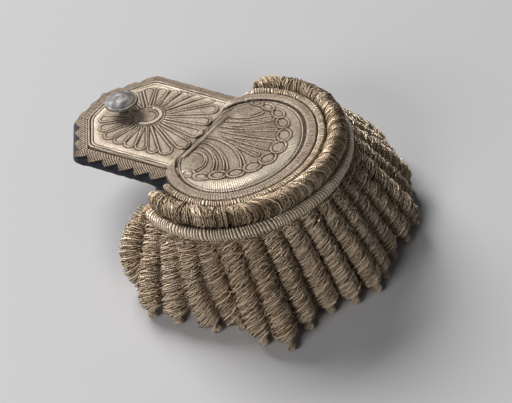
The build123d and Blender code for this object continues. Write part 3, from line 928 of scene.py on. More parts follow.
# %% Heading of the fringe
def heading_band(rows=760):
    """Part of the ribbed band that the tassels hang from."""
    share = np.linspace(0, 1, rows)
    path, out, _, length = horseshoe(heading_offset, heading_end_reach, share)
    rib = np.abs(np.sin(np.pi * share * length / 0.9))
    section = [
        # outward from the middle line, height, how much of the rib it takes
        (-3.3, -9.6, 0.0), (0.0, -9.55, 0.0), (3.0, -9.6, 0.0), (3.3, -10.0, 1.0),
        (3.3, -11.3, 1.0), (3.2, -12.6, 1.0), (2.6, -12.95, 0.0), (-3.3, -12.95, 0.0),
    ]
    rings = [path + out * (side + 0.22 * rib * take)[:, None] + np.array((0, 0, height))
             for side, height, take in section]
    points = np.stack(rings, 1)
    around = len(section)
    # Between the ribs the band is painted darker, in its shade and height marks, as painted shade.
    marks = {
        "along": np.repeat(share * length, around),
        "shade": np.repeat(0.28 + 0.12 * rib, around),
        "height": np.repeat(0.4 + 0.5 * rib, around),
    }
    faces = [ring_quads(rows, around)[:, ::-1], end_caps(rows, around)[:, ::-1]]
    return standing(points.reshape(-1, 3)), faces, marks


make_piece("fringe_heading", heading_band(), bullion, ["fringe"])

# %% [markdown]
# The plate is one sheet of thin silver, pressed in a die: a palmette on the strap, a shell with
# a chain of ovals on the crescent, a bar between them, and rims and a rolled moulding round the
# edge. Sculpting it by hand would be slow and hard to change. A pressed sheet has one height at
# each place, so the relief is a height field: every motif is a function of the distance to a
# simple shape, and the highest of them wins. First come the distances to the plate's outlines.

# %% Distances to the plate's outlines
strap_reach = 78.0
strap_end_half_width = 9.5
cant_length = 13.6
strap_half_width = 27.3
neck_half_width = 26.2
neck_reach = 19.3
plate_margin = 4.4


def from_field(x, y):
    """Distance outside the crescent's field, negative inside."""
    y = np.abs(y)
    on_front = np.arctan2(y, x + front_centre) < math.atan2(side_centre, front_centre)
    front = np.hypot(x + front_centre, y) - front_reach(0) - front_centre
    side = np.hypot(x, y - side_centre) - field_radius
    return np.where(on_front & (x > -front_centre), front, side)


def softly_greatest(first, second, width=2.4):
    """The greater of two distances, with the corner between them rounded off."""
    overlap = np.maximum(width - np.abs(first - second), 0) / width
    return np.maximum(first, second) + overlap ** 2 * width / 4


def from_strap(x, y):
    """Distance outside the strap's outline, negative inside."""
    y = np.abs(y)
    taper = (strap_half_width - neck_half_width) / (strap_reach - cant_length - neck_reach)
    slope = math.hypot(1, taper)
    edge = (y - neck_half_width + taper * (x + neck_reach)) / slope
    run = strap_half_width - strap_end_half_width
    cant = math.hypot(cant_length, run)
    corner = -(x + strap_reach) * run / cant + (y - strap_end_half_width) * cant_length / cant
    return softly_greatest(softly_greatest(edge, corner), -strap_reach - x)


def from_plate(x, y):
    """Distance outside the whole plate, negative inside."""
    crescent = np.maximum(from_field(x, y) - plate_margin, -neck_reach - 1.5 - x)
    strap = np.maximum(from_strap(x, y), x + 8)
    return np.minimum(crescent, strap)


print("plate is", round(strap_reach + front_reach(plate_margin), 1), "mm long")

# %% [markdown]
# The motifs on the plate are drops and arcs, and what rises from their outlines is either a
# half-round bead along a line or a dome inside it. A curve traced from a drawing would give the
# same shapes as long lists of points. A distance formula for each of the two kinds is shorter,
# and it says at once how far every place of the plate is from the motif.

# %% Distances to drops and arcs
def from_drop(x, y, root, tip, length):
    """Distance outside a drop along x that grows from its root's radius to its tip's."""
    y = np.abs(y)
    lean_in = (root - tip) / length
    level = math.sqrt(1 - lean_in ** 2)
    way = -lean_in * y + level * x
    return np.where(way < 0, np.hypot(x, y) - root,
                    np.where(way > level * length, np.hypot(x - length, y) - tip,
                             level * y + lean_in * x - root))


def from_arc(x, y, start, middle, end):
    """Distance to the arc through three points, and the share of the way along it."""
    (ax, ay), (bx, by), (cx, cy) = start, middle, end
    d = 2 * (ax * (by - cy) + bx * (cy - ay) + cx * (ay - by))
    a2, b2, c2 = ax * ax + ay * ay, bx * bx + by * by, cx * cx + cy * cy
    ux = (a2 * (by - cy) + b2 * (cy - ay) + c2 * (ay - by)) / d
    uy = (a2 * (cx - bx) + b2 * (ax - cx) + c2 * (bx - ax)) / d
    radius = math.hypot(ax - ux, ay - uy)
    first = math.atan2(ay - uy, ax - ux)
    span = (math.atan2(cy - uy, cx - ux) - first + math.pi) % (2 * math.pi) - math.pi
    turn = (np.arctan2(y - uy, x - ux) - first + math.pi) % (2 * math.pi) - math.pi
    share = np.clip(turn / span, 0, 1)
    nearest = first + share * span
    return np.hypot(x - ux - radius * np.cos(nearest), y - uy - radius * np.sin(nearest)), share


def bead(distance, half_width, height):
    """Half-round ridge along the line where the distance is nought."""
    return height * np.sqrt(np.clip(1 - (distance / half_width) ** 2, 0, 1))


def dome(inside, rise_width, height):
    """Swelling that rises over a width from an edge and then stays level."""
    share = np.clip(inside / rise_width, 0, 1)
    return height * np.sqrt(1 - (1 - share) ** 2)


on_arc, share_of_arc = from_arc(np.array(0.0), np.array(2.0), (-1.0, 0.0), (0.0, 1.0), (1.0, 0.0))
print("test arc:", round(float(on_arc), 2), "mm away at share", round(float(share_of_arc), 2))

# %% [markdown]
# The palmette has petals like long drops round a curved eye. The shell has flutes on one side
# and curved leaves on the other that spread from the bar, a volute in each corner and a chain of
# ovals. A die is cut by hand, so nothing on it is quite even, and short tables hold what
# differs from petal to petal and from oval to oval.

# %% Motifs of the plate
palmette_centre = (-51.0, 1.3)
palmette_turn = math.radians(4.5)
petal_reach = 32.0
petal_tip = 3.1
petal_root_reach = 8.2

petals = [
    # turn in degrees, reach and tip radius as shares
    (9.5, 0.94, 0.92), (27.3, 1.00, 1.00), (43.3, 0.98, 0.92), (54.5, 0.87, 0.78), (68.0, 0.76, 0.80),
    (83.0, 0.71, 0.84), (100.0, 0.69, 0.88), (119.0, 0.71, 0.88), (138.5, 0.71, 0.84), (157.5, 0.71, 0.76),
]
chain = [
    # place along, place across, half length and half width of each oval
    (-10.8, -26.2, 3.4, 1.9), (-3.9, -26.0, 3.4, 2.1), (2.2, -22.5, 3.6, 2.4), (8.6, -18.3, 3.8, 2.7),
    (13.2, -11.8, 4.0, 3.0), (16.5, -4.7, 4.1, 3.0), (16.8, 3.9, 4.2, 3.1), (14.8, 12.3, 4.2, 3.0),
    (9.7, 19.7, 4.0, 2.8), (4.4, 24.9, 3.6, 2.5), (-2.6, 27.6, 3.4, 2.1), (-9.2, 28.6, 3.2, 1.8),
]
flutes = [
    # start, middle and end of the middle line, and half the width at the end
    ((-8.0, -0.8), (1.0, -2.4), (10.2, -3.9), 1.5), ((-10.0, 1.5), (0.6, 2.0), (12.0, 3.1), 2.8),
    ((-14.0, 4.1), (-1.5, 7.0), (10.8, 10.7), 3.1), ((-15.0, 7.2), (-3.5, 11.2), (6.9, 17.0), 3.1),
    ((-15.0, 11.4), (-5.0, 15.4), (2.9, 20.6), 1.6), ((-15.5, 14.6), (-7.5, 17.6), (-3.4, 22.6), 1.0),
]
leaves = [
    # start, middle and end of each pair of curved lines
    ((-16.6, -12.6), (-8.1, -16.0), (-8.6, -23.6)), ((-16.6, -8.3), (-5.5, -13.0), (-1.0, -20.6)),
    ((-16.6, -5.2), (-5.1, -9.0), (3.7, -18.7)), ((-16.6, -1.8), (-1.0, -4.2), (9.6, -13.8)),
]
volutes = [(-13.0, -18.2), (-11.0, 21.3)]

print("petals:", 2 * len(petals), "ovals:", len(chain), "flutes:", len(flutes), "leaves:", len(leaves))

# %% [markdown]
# A relief is pressed motif by motif. Each motif shows only where it is higher than what is
# already there, as in a real die, where the deeper cut wins. Along its outline runs a corded
# line between two fine grooves. A mask keeps the corded lines and another the grooves, so that
# the finish can twist the one and darken the other with painted shade.

# %% Relief in the making
class Relief:
    """Height over the plate's field, its corded lines and its grooves, on a grid of places."""

    def __init__(self, x, y):
        self.x, self.y = x, y
        self.height = np.zeros_like(x)
        self.cord = np.zeros_like(x)
        self.groove = np.zeros_like(x)
        self.base = 0.0

    def raise_to(self, height, cord=False):
        """The motif shows where it is higher than what is there."""
        height = height + self.base
        higher = height > self.height + 1e-6
        self.height = np.where(higher, height, self.height)
        self.cord = np.where(higher, float(cord), self.cord)
        self.groove = np.where(higher, 0.0, self.groove)

    def sink(self, distance, half_width, width=0.42):
        """Narrow grooves on both sides of a line."""
        aside = np.abs(distance) - half_width - width / 2
        self.groove = np.maximum(self.groove, bead(aside, width / 2, 1.0))

    def corded(self, distance, half_width=0.4, height=0.5):
        """Corded line between two grooves where the distance is nought."""
        self.raise_to(bead(distance, half_width, height), cord=True)
        self.sink(distance, half_width)

    def boss(self, distance, rise_width, height=0.42, gap=0.8):
        """Swelling inside a corded outline."""
        self.raise_to(dome(-distance - gap, rise_width, height))
        self.corded(distance)


sample = Relief(np.linspace(-2, 2, 5), np.zeros(5))
sample.corded(sample.x)
print("across a corded line the height is", sample.height.round(2), "mm")

# %% [markdown]
# Petals, flutes and ovals are each a swelling inside a corded outline. One loop presses the
# petals of both sides of the palmette, and the shell takes its motifs from the tables. They
# could be modelled once and copied round, but the distances already do that, and where two
# motifs meet the higher one hides the edge of the other without any trimming.

# %% Palmette and shell
def press_palmette(relief):
    """Petals and eye on the strap."""
    dx, dy = relief.x - palmette_centre[0], relief.y - palmette_centre[1]
    for degrees, reach, tip in petals:
        for side in (-1, 1):
            turn = palmette_turn + side * math.radians(degrees)
            along = dx * math.cos(turn) + dy * math.sin(turn)
            across = dy * math.cos(turn) - dx * math.sin(turn)
            tip_radius = tip * petal_tip
            length = reach * petal_reach - tip_radius - petal_root_reach
            drop = from_drop(along - petal_root_reach, across, 0.55, tip_radius, length)
            relief.boss(drop, rise_width=tip_radius * 0.75)
    away = np.hypot(dx, dy)
    ahead = np.cos(np.arctan2(dy, dx) - palmette_turn)
    relief.corded(np.where(ahead > -0.6, away - 7.6, 9), height=0.4)
    relief.corded(np.where(ahead > -0.5, away - 4.3, 9), half_width=0.35, height=0.35)
    relief.raise_to(bead(np.where(ahead > -0.15, away - 6.0, 9), 1.0, 0.95))


def press_shell(relief):
    """Flutes, leaves, volutes and the chain of ovals on the crescent."""
    x, y = relief.x, relief.y
    for start, middle, end, half_width in flutes:
        distance, share = from_arc(x, y, start, middle, end)
        outside = distance - half_width * share
        relief.raise_to(dome(-outside - 0.5, half_width * 0.8, 0.42), cord=True)
        relief.corded(outside, half_width=0.34, height=0.5)
    for start, middle, end in leaves:
        distance, share = from_arc(x, y, start, middle, end)
        relief.corded(distance - 0.85 * share, half_width=0.36, height=0.5)
    for along, across in volutes:
        volute = np.hypot(x - along, y - across)
        relief.raise_to(dome(3.2 - volute, 2.6, 0.55), cord=True)
    for number, (along, across, half_length, half_width) in enumerate(chain):
        before, after = chain[max(number - 1, 0)], chain[min(number + 1, len(chain) - 1)]
        turn = math.atan2(after[1] - before[1], after[0] - before[0])
        dx, dy = x - along, y - across
        u = (dx * math.cos(turn) + dy * math.sin(turn)) / half_length
        v = (dy * math.cos(turn) - dx * math.sin(turn)) / half_width
        away = (np.hypot(u, v) - 1) * half_width
        relief.raise_to(np.where(away < 0.5, 0.12, 0))
        relief.boss(away, rise_width=half_width * 0.6, height=0.3)


sample = Relief(np.linspace(palmette_centre[0], palmette_centre[0] + petal_reach, 200), np.zeros(200))
press_palmette(sample)
print("along the palmette the relief is up to", round(float(sample.height.max()), 2), "mm high")

# %% [markdown]
# Round the crescent the edge stands up in a thick roll, and a groove and a fine corded line run
# inside it. On the strap a corded rim and a plain one lie side by side. Between strap and crescent
# a bar closes both fields, and at its ends the rims curl up. The fields themselves swell, and
# turn down in a smooth shoulder next to the rims: that shoulder is what catches the light.

# %% Rims, bar and swelling fields
bar_place = -18.3
bar_turn = 0.067
bar_half_width = 1.15
roll_middle = 1.95
roll_half_width = 2.35
curl_centre = (-15.6, 29.4)


def press_rims(relief):
    """Rims of strap and field, rolled moulding, bar and the curled ends of the rims."""
    x, y = relief.x, relief.y
    inside, field = -from_strap(x, y), from_field(x, y)
    on_strap = x < -neck_reach - 1.3
    on_crescent = x > -neck_reach - 1.0
    relief.corded(np.where(on_strap, inside - 0.55, 9), half_width=0.55, height=0.85)
    relief.raise_to(bead(np.where(on_strap, inside - 2.0, 9), 0.42, 0.7))
    relief.sink(np.where(on_strap, inside - 2.0, 9), 0.42, 0.4)
    relief.corded(np.where(on_crescent, field + 1.9, 9), half_width=0.3, height=0.55)
    roll = np.where(x > -neck_reach - 3, field - roll_middle, 9)
    relief.raise_to(bead(roll, roll_half_width, 1.25), cord=True)
    relief.sink(np.where(on_crescent, field + 0.6, 9), 0.0, 0.45)
    across = np.where(np.abs(y + 1) < 16.5, x - bar_turn * y - bar_place, 9)
    relief.raise_to(bead(across, bar_half_width, 0.75))
    relief.sink(across, bar_half_width, 0.35)
    relief.corded(across - 1.75, half_width=0.26, height=0.45)
    curl = np.hypot(x - curl_centre[0], np.abs(y) - curl_centre[1])
    relief.raise_to(bead(curl, 1.5, 1.1))


def swell(x, y):
    """Height of the smooth field, which turns down in a shoulder next to the rims."""
    inside, field = -from_strap(x, y) - 2.4, -from_field(x, y) - 2.2
    to_bar = np.abs(x + neck_reach) - 1.8
    strap = dome(np.minimum(inside, to_bar * 1.4), 4.6, 0.85)
    crescent = dome(np.minimum(field, to_bar * 1.4), 7.0, 0.95)
    return np.where(x < -neck_reach, strap, crescent)


def plate_relief(x, y):
    """Height over the field, corded lines and grooves at places on the plate."""
    relief = Relief(x, y)
    relief.base = swell(x, y)
    relief.height = relief.base
    press_palmette(relief)
    press_shell(relief)
    relief.base = 0.0
    press_rims(relief)
    relief.height = relief.height - 0.12 * relief.groove
    return relief


sample = plate_relief(np.linspace(-70, 30, 500), np.zeros(500))
print("relief along the middle is up to", round(float(sample.height.max()), 2), "mm high")

# %% [markdown]
# The height field becomes a mesh on a fine square grid. A grid leaves a stepped edge, so the
# places nearest the outline are moved onto it along the slope of the distance. What the finish
# has to know goes onto the points: the masks, the angle round the crescent for its rays, how
# far a place is from rim and field, how much of the painted highlight along the rims it gets,
# and how much lower it lies than its surroundings, because that is where tarnish gathers.

# %% Places and marks of the plate
grid_step = 0.29


def smoothed(values, reach):
    """Mean over a square of neighbours on the grid."""
    for axis in (0, 1):
        total = np.cumsum(np.concatenate([np.zeros_like(values.take([0], axis)), values], axis), axis)
        count = values.shape[axis]
        low = np.clip(np.arange(count) - reach, 0, count)
        high = np.clip(np.arange(count) + reach + 1, 0, count)
        share = (high - low).reshape([-1 if k == axis else 1 for k in (0, 1)])
        values = (total.take(high, axis) - total.take(low, axis)) / share
    return values


def plate_grid():
    """Places on a square grid, with those next to the plate's outline moved onto it."""
    xs = np.arange(-strap_reach - 1, front_reach(plate_margin) + 1, grid_step)
    half = side_centre + field_radius + plate_margin + 1
    ys = np.arange(-half, half, grid_step)
    x, y = np.meshgrid(xs, ys, indexing="ij")
    for _ in range(2):
        distance = from_plate(x, y)
        slope_x = (from_plate(x + 0.01, y) - from_plate(x - 0.01, y)) / 0.02
        slope_y = (from_plate(x, y + 0.01) - from_plate(x, y - 0.01)) / 0.02
        moved = (distance > -0.35 * grid_step) & (distance < 1.2 * grid_step)
        x = np.where(moved, x - distance * slope_x, x)
        y = np.where(moved, y - distance * slope_y, y)
    return x, y


def plate_marks(x, y, relief):
    """What the finish has to know at each place."""
    around = np.arctan2(y - np.sign(y) * side_centre * (x < 0), x + front_centre)
    on_strap = x < -neck_reach
    return {
        "hollow": smoothed(relief.height, 4) - relief.height,
        "cord": relief.cord,
        "groove": relief.groove,
        "ray": around,
        "band": np.where(on_strap, 0, np.clip(from_field(x, y) / 3 + 3.2, 0, 1)),
        # near: how much of the painted highlight along the rims a place gets, most on the near side of the
        # crescent.
        "near": np.where(on_strap, 0.35, np.clip(0.52 + 0.6 * np.cos(around + 1.0), 0.1, 1)),
        "field": from_field(x, y),
        "rim": np.where(on_strap, -1.6 * from_strap(x, y) - 3.8, -from_field(x, y) - 2.2),
    }


grid_x, grid_y = plate_grid()
print("plate grid has", grid_x.shape[0], "by", grid_x.shape[1], "places")

# %% [markdown]
# Only the quads inside the outline are kept. The edge of the sheet is then folded down by its
# thickness and closed below, which Blender's own mesh tools do well. A solidify modifier could
# give the thickness too, but it would repeat the whole relief on the hidden underside.

# %% Plate mesh
import bmesh

plate_thickness = 0.8


def plate_part(x, y):
    """Part of the top of the plate: points, quads and the marks for its finish."""
    relief = plate_relief(x, y)
    edge = np.clip(1 + from_plate(x, y) / 0.5, 0, 1)
    z = plate_thickness / 2 + relief.height - 0.3 * edge ** 2
    kept = from_plate(x, y) < 0.05
    quads = sheet_quads(*x.shape)[:, ::-1]
    quads = quads[kept.ravel()[quads].all(1)]
    used, places = np.unique(quads, return_inverse=True)
    points = np.stack([x, y, z], -1).reshape(-1, 3)[used]
    marks = {name: values.ravel()[used] for name, values in plate_marks(x, y, relief).items()}
    return standing(points), [places.reshape(-1, 4)], marks


def fold_edge_down(piece, drop):
    """Closes a sheet by folding its edge down and filling it below."""
    mesh = piece.data
    body = bmesh.new()
    body.from_mesh(mesh)
    bmesh.ops.dissolve_degenerate(body, dist=1e-6, edges=body.edges)
    rim = [edge for edge in body.edges if edge.is_boundary]
    made = bmesh.ops.extrude_edge_only(body, edges=rim)["geom"]
    down = Vector(leaned((0, 0, -drop)) / 1000)
    low = [item for item in made if isinstance(item, bmesh.types.BMVert)]
    bmesh.ops.translate(body, verts=low, vec=down)
    bmesh.ops.holes_fill(body, edges=[edge for edge in body.edges if edge.is_boundary])
    bmesh.ops.recalc_face_normals(body, faces=body.faces)
    body.to_mesh(mesh)
    body.free()
    mesh.shade_smooth()


plate_top = plate_part(grid_x, grid_y)
print("top of the plate has", len(plate_top[0]), "points")

# %% [markdown]
# The plate is silver that has gone warm and dull, lighter on the domes that a cloth can reach
# and brown in the hollows. Along the rims, most on the near side of the crescent, a painted
# highlight lightens it, and its grooves are painted dark as shade. The corded lines have a fine
# beaded texture, the flat ground looks woven, and the outer band of the crescent has close rays,
# as if it were laid with thread. All of that is far finer than the mesh, so it is colour and bump:
# the rays follow the angle round the crescent, and the masks say where the rest may show.

# %% Finish of the plate
rays_per_radian = 236.0
thread_pitch = 0.85


def crossed_threads(tree, pitch):
    """Two rows of threads that cross, pitch millimetres apart, from -1 to 1."""
    place = add(tree, "SeparateXYZ", [("Vector", add(tree, "TexCoord").outputs["Object"])])
    rows = []
    for slope in (0.75, -0.75):
        level = plus(tree, place.outputs["X"], times(tree, place.outputs["Y"], slope))
        rows.append(reckon(tree, "SINE", times(tree, level, 2000 * math.pi / pitch)))
    return times(tree, *rows)


def plate_material():
    """Warm tarnished silver with rays, corded lines and tarnish in the hollows, painted shade in grooves and
    a painted highlight on rims.
    """
    material, tree, shader = new_material("pressed_silver", metallic=0.68, roughness=0.4)
    rim = mark(tree, "rim")
    # Painted highlight: near the rims, most on the near side of the crescent, the silver is lightened and
    # smoothed.
    near_rim = spread(tree, rim, 6.5, 3.5, 0.0, 0.9)
    on_roll = spread(tree, rim, -1.1, -0.6, 0.9, 0.0)
    painted_rim_highlight = times(tree, reckon(tree, "SUBTRACT", near_rim, on_roll), mark(tree, "near"))
    wear = plus(tree, spread(tree, mark(tree, "hollow"), -0.25, 0.2, 0.76, 0.2),
                spread(tree, mark(tree, "field"), 4.0, -8.0, 0.2, 0.15))
    rays = reckon(tree, "SINE", times(tree, mark(tree, "ray"), rays_per_radian))
    rays = times(tree, rays, mark(tree, "band"))
    inputs = [("Vector", add(tree, "TexCoord").outputs["Object"]), ("Scale", 1350.0)]
    beads = times(tree, add(tree, "TexVoronoi", inputs).outputs["Distance"], mark(tree, "cord"))
    woven = times(tree, crossed_threads(tree, thread_pitch), spread(tree, painted_rim_highlight, 0.0, 0.6, 1.0, 0.0))
    # The tone adds the painted highlight along the rims and takes painted shade off in the grooves.
    tone = plus(tree, wear, uneven(tree, 9, 0.5), uneven(tree, 0.8, 0.9), times(tree, painted_rim_highlight, 0.4),
                times(tree, woven, 0.2), times(tree, rays, 0.2), times(tree, beads, -0.35),
                times(tree, mark(tree, "groove"), -0.62))
    colour = ramp(tree, tone, (0.0, (0.06, 0.042, 0.028)), (0.3, (0.22, 0.162, 0.115)),
                  (0.6, (0.43, 0.338, 0.253)), (1.0, (0.78, 0.68, 0.55)))
    tree.links.new(colour, shader.inputs["Base Color"])
    dull = plus(tree, spread(tree, tone, 0.0, 1.0, 0.62, 0.42), times(tree, painted_rim_highlight, -0.12))
    tree.links.new(dull, shader.inputs["Roughness"])
    grain = times(tree, blotches(tree, 0.6, 2), spread(tree, painted_rim_highlight, 0.0, 1.0, 1.8, 0.6))
    height = plus(tree, times(tree, plus(tree, rays, woven), 1.1), grain, times(tree, beads, -1.6))
    bumped(tree, shader, height, 0.16)
    return material


plate = make_piece("plate", plate_top, plate_material(), ["pressed_plate"])
fold_edge_down(plate, plate_thickness)
print("plate mesh has", len(plate.data.polygons), "faces")

# %% [markdown]
# The strap's padded edge is bound with silver lace, a woven ribbon whose outer side is cut to a
# row of teeth. It could be a flat ring with a toothed texture. It is a strip that is laid over
# the rounded edge instead: one way along it follows the strap, the other goes flat for two
# millimetres and then down round the edge, and stops early or late to cut the teeth. Cloth
# thickness comes from a second layer just below.

# %% Lines round the strap
lace_flat = 2.1
edge_round = 5.1
end_extra = 1.8
corner_round = 6.0


def strap_corners(extra):
    """Corners of the strap from the neck on -y round the end to the neck on +y."""
    taper = (strap_half_width - neck_half_width) / (strap_reach - cant_length - neck_reach)
    root = neck_reach + 1.0
    root_half = neck_half_width + taper * (root - neck_reach)
    reach = strap_reach + extra
    near = [(-root, -root_half), (cant_length - reach, -strap_half_width), (-reach, -strap_end_half_width)]
    return near + [(x, -y) for x, y in reversed(near)]


def round_the_strap(margin, per_side, per_corner, extra=end_extra):
    """Points and outward directions of the strap's outline, moved outward, with round corners."""
    corners = np.array(strap_corners(extra))
    runs = unit(np.diff(corners, axis=0))
    outs = np.stack([-runs[:, 1], runs[:, 0]], -1)
    radius = max(corner_round - (lace_flat + edge_round - margin), 0.15)
    points, directions = [], []
    previous = corners[0] + outs[0] * margin
    for k in range(len(runs)):
        if k < len(runs) - 1:
            miter = (outs[k] + outs[k + 1]) / (1 + outs[k] @ outs[k + 1])
            sharp = corners[k + 1] + miter * margin
            half = math.acos(np.clip(outs[k] @ outs[k + 1], -1, 1)) / 2
            cut = radius * math.tan(half)
            stop = sharp - runs[k] * cut
        else:
            stop = corners[-1] + outs[k] * margin
        share = np.linspace(0, 1, per_side[k])[:, None]
        points.append(previous + (stop - previous) * share)
        directions.append(np.repeat(outs[k][None], per_side[k], 0))
        if k < len(runs) - 1:
            centre = stop - outs[k] * radius
            turn = np.linspace(0, 1, per_corner + 2)[1:-1] * 2 * half
            base = math.atan2(outs[k][1], outs[k][0])
            spin = np.sign(outs[k][0] * outs[k + 1][1] - outs[k][1] * outs[k + 1][0])
            arc = np.stack([np.cos(base + spin * turn), np.sin(base + spin * turn)], -1)
            points.append(centre + arc * radius)
            directions.append(arc)
            previous = sharp + runs[k + 1] * cut
    return np.concatenate(points), np.concatenate(directions)


outline, _ = round_the_strap(lace_flat + edge_round, (90, 30, 44, 30, 90), 8)
print("padded edge is", round(float(np.linalg.norm(np.diff(outline, axis=0), axis=1).sum()), 1), "mm round")

# %% [markdown]
# The teeth are like those of a saw: each has one long side and one short, steep one, and they
# reach less far down at the end of the strap than along its sides. A row of equal triangles
# would be simpler, but it is these noses that make the edge of the real lace. Their reach is an
# angle round the padded edge, so that the lace lies on it everywhere.

# %% Lace border
tooth_pitch = 8.2
notch_angle = math.radians(20)
tooth_angle = math.radians(57)
angle_less_at_end = math.radians(22)
lace_thickness = 0.45


def tooth(way):
    """How far a tooth reaches at a way along the lace, from 0 in the notch to 1 at the nose."""
    place = (way / tooth_pitch) % 1.0
    rise = np.clip(place / 0.8, 0, 1)
    fall = np.clip((1 - place) / 0.2, 0, 1)
    return np.minimum(rise ** 0.8, fall ** 0.7)


def lace_layer(across_steps, drop):
    """Points of one layer of the lace, drop below its face, and the ways along and across."""
    counts, corner = (150, 44, 62, 44, 150), 14
    outer, directions = round_the_strap(lace_flat + edge_round * 0.8, counts, corner)
    way = np.concatenate([[0], np.cumsum(np.linalg.norm(np.diff(outer, axis=0), axis=1))])
    pitch_count = round(way[-1] / tooth_pitch)
    reach = notch_angle + (tooth_angle - notch_angle) * tooth(way * pitch_count * tooth_pitch / way[-1])
    toward_end = np.clip((-outer[:, 0] - strap_reach + cant_length) / cant_length * 1.6, 0, 1)
    reach = reach - angle_less_at_end * toward_end
    flat_share = 0.3
    layers, acrosses = [], []
    for step in np.linspace(0, 1, across_steps):
        flat = min(step / flat_share, 1.0)
        angle = reach * max(0.0, (step - flat_share) / (1 - flat_share))
        inner, _ = round_the_strap(0.3 + (lace_flat - 0.3) * flat, counts, corner, end_extra * flat)
        radius = edge_round - drop
        out = (radius * np.sin(angle))[:, None] * directions
        z = -drop - radius * (1 - np.cos(angle))
        layers.append(np.concatenate([inner + out, z[:, None]], 1))
        acrosses.append(lace_flat * flat + edge_round * angle)
    return np.stack(layers, 1), np.repeat(way[:, None], across_steps, 1), np.stack(acrosses, 1)


def lace_part(across_steps=15):
    """Part of the lace with its upper face, its under face and the edges between them."""
    top, way, across = lace_layer(across_steps, 0.0)
    top[..., 2] += 0.072 * np.exp(-((np.arange(across_steps) - across_steps + 2) / 1.2) ** 2)
    under, _, _ = lace_layer(across_steps, lace_thickness)
    rows = len(top)
    count = rows * across_steps
    face = sheet_quads(rows, across_steps)
    index = np.arange(count).reshape(rows, across_steps)
    rim = np.concatenate([index[:, 0], index[-1, 1:], index[-2::-1, -1], index[0, -2:0:-1]])
    after = np.roll(rim, -1)
    wall = np.stack([rim, after, after + count, rim + count], -1)
    points = np.concatenate([top.reshape(-1, 3), under.reshape(-1, 3)])
    marks = {"along": np.tile(way.ravel(), 2), "across": np.tile(across.ravel(), 2)}
    return standing(points), [face, (face + count)[:, ::-1], wall[:, ::-1]], marks


lace_shape = lace_part()
print("lace runs", round(float(lace_shape[2]["along"].max()), 1), "mm round the strap")

# %% [markdown]
# The ribs of the weave run slantwise across the ribbon, finer than the mesh can show, so they
# are colour and bump worked out from the distances along and across it. The lace is a true
# sheet, a strip that is cut to its teeth and stretched round the strap. About half of the strip
# is left between the notches.

# %% Finish of the lace
rib_pitch = 1.5
weft_pitch = 1.1


def lace_material():
    """Woven silver ribbon, pinkish with tarnish, with slanting ribs and a cross weave."""
    material, tree, shader = new_material("woven_lace", metallic=0.35, roughness=0.6)
    along, across = mark(tree, "along"), mark(tree, "across")
    slant = plus(tree, along, times(tree, across, 1.2))
    rib = reckon(tree, "SINE", times(tree, slant, 2 * math.pi / rib_pitch))
    weft = reckon(tree, "SINE", times(tree, across, 2 * math.pi / weft_pitch))
    weave = plus(tree, rib, times(tree, weft, 0.3))
    tone = plus(tree, times(tree, weave, 0.42), blotches(tree, 2.0, 4))
    colour = ramp(tree, tone, (0.15, (0.04, 0.027, 0.016)), (0.5, (0.135, 0.095, 0.063)),
                  (0.9, (0.4, 0.3, 0.205)))
    tree.links.new(colour, shader.inputs["Base Color"])
    bumped(tree, shader, plus(tree, times(tree, weave, 0.5), blotches(tree, 0.4)), 0.18)
    return material


lace = make_piece("lace_edging", lace_shape, lace_material(), ["lace_border"])

# %% [markdown]
# Strap and crescent are built on stiff board, padded and covered in dark navy cloth, which
# shows below the teeth of the lace and underneath. Here the measured solid is copied, remeshed
# to even small quads and softened, because cloth over padding has no crisp edges, and then
# moved in and out by a fraction of a millimetre. A cloth simulation would add nothing to a
# cover that is stretched and sewn tight.

# %% Cloth base
from mathutils import noise

bumps_per_metre = 160


def cloth_cover(name, node, voxel, rounds, unevenness):
    """Softened copy of a measured solid, as tight cloth over padding."""
    mesh = frame["nodes"][node].data.copy()
    mesh.name = name
    piece = bpy.data.objects.new(name, mesh)
    bpy.context.scene.collection.objects.link(piece)
    mesh.materials.clear()
    remesh = piece.modifiers.new("even", "REMESH")
    remesh.mode = "VOXEL"
    remesh.voxel_size = voxel / 1000
    smooth = piece.modifiers.new("soft", "SMOOTH")
    smooth.factor = 0.5
    smooth.iterations = rounds
    shaped = bpy.data.meshes.new_from_object(piece.evaluated_get(bpy.context.evaluated_depsgraph_get()))
    piece.modifiers.clear()
    piece.data = shaped
    shaped.name = name
    places = np.empty((len(shaped.vertices), 3), np.float32)
    normals = np.empty_like(places)
    shaped.vertices.foreach_get("co", places.ravel())
    shaped.vertices.foreach_get("normal", normals.ravel())
    push = np.array([noise.noise(Vector(place) * bumps_per_metre) for place in places])
    shaped.vertices.foreach_set("co", (places + normals * push[:, None] * unevenness / 1000).ravel())
    shaped.shade_smooth()
    return piece


def cloth_material():
    """Milled navy wool: a felted surface with fine hairs and a trace of dust."""
    material, tree, shader = new_material("navy_wool", roughness=0.95)
    tone = plus(tree, times(tree, blotches(tree, 0.5, 4), 0.6), times(tree, blotches(tree, 7, 2), 0.4))
    colour = ramp(tree, tone, (0.3, (0.005, 0.006, 0.010)), (0.55, (0.012, 0.0135, 0.021)),
                  (0.8, (0.045, 0.043, 0.046)))
    tree.links.new(colour, shader.inputs["Base Color"])
    shader.inputs["Sheen Weight"].default_value = 0.15
    shader.inputs["Sheen Roughness"].default_value = 0.6
    shader.inputs["Specular IOR Level"].default_value = 0.2
    bumped(tree, shader, blotches(tree, 0.35, 4), 0.25)
    return material


cloth = cloth_cover("base_cloth", "cloth_base", voxel=0.9, rounds=3, unevenness=0.12)
cloth.data.materials.append(cloth_material())
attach(cloth, "root")
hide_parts("cloth_base")
print("base_cloth has", len(cloth.data.polygons), "faces")

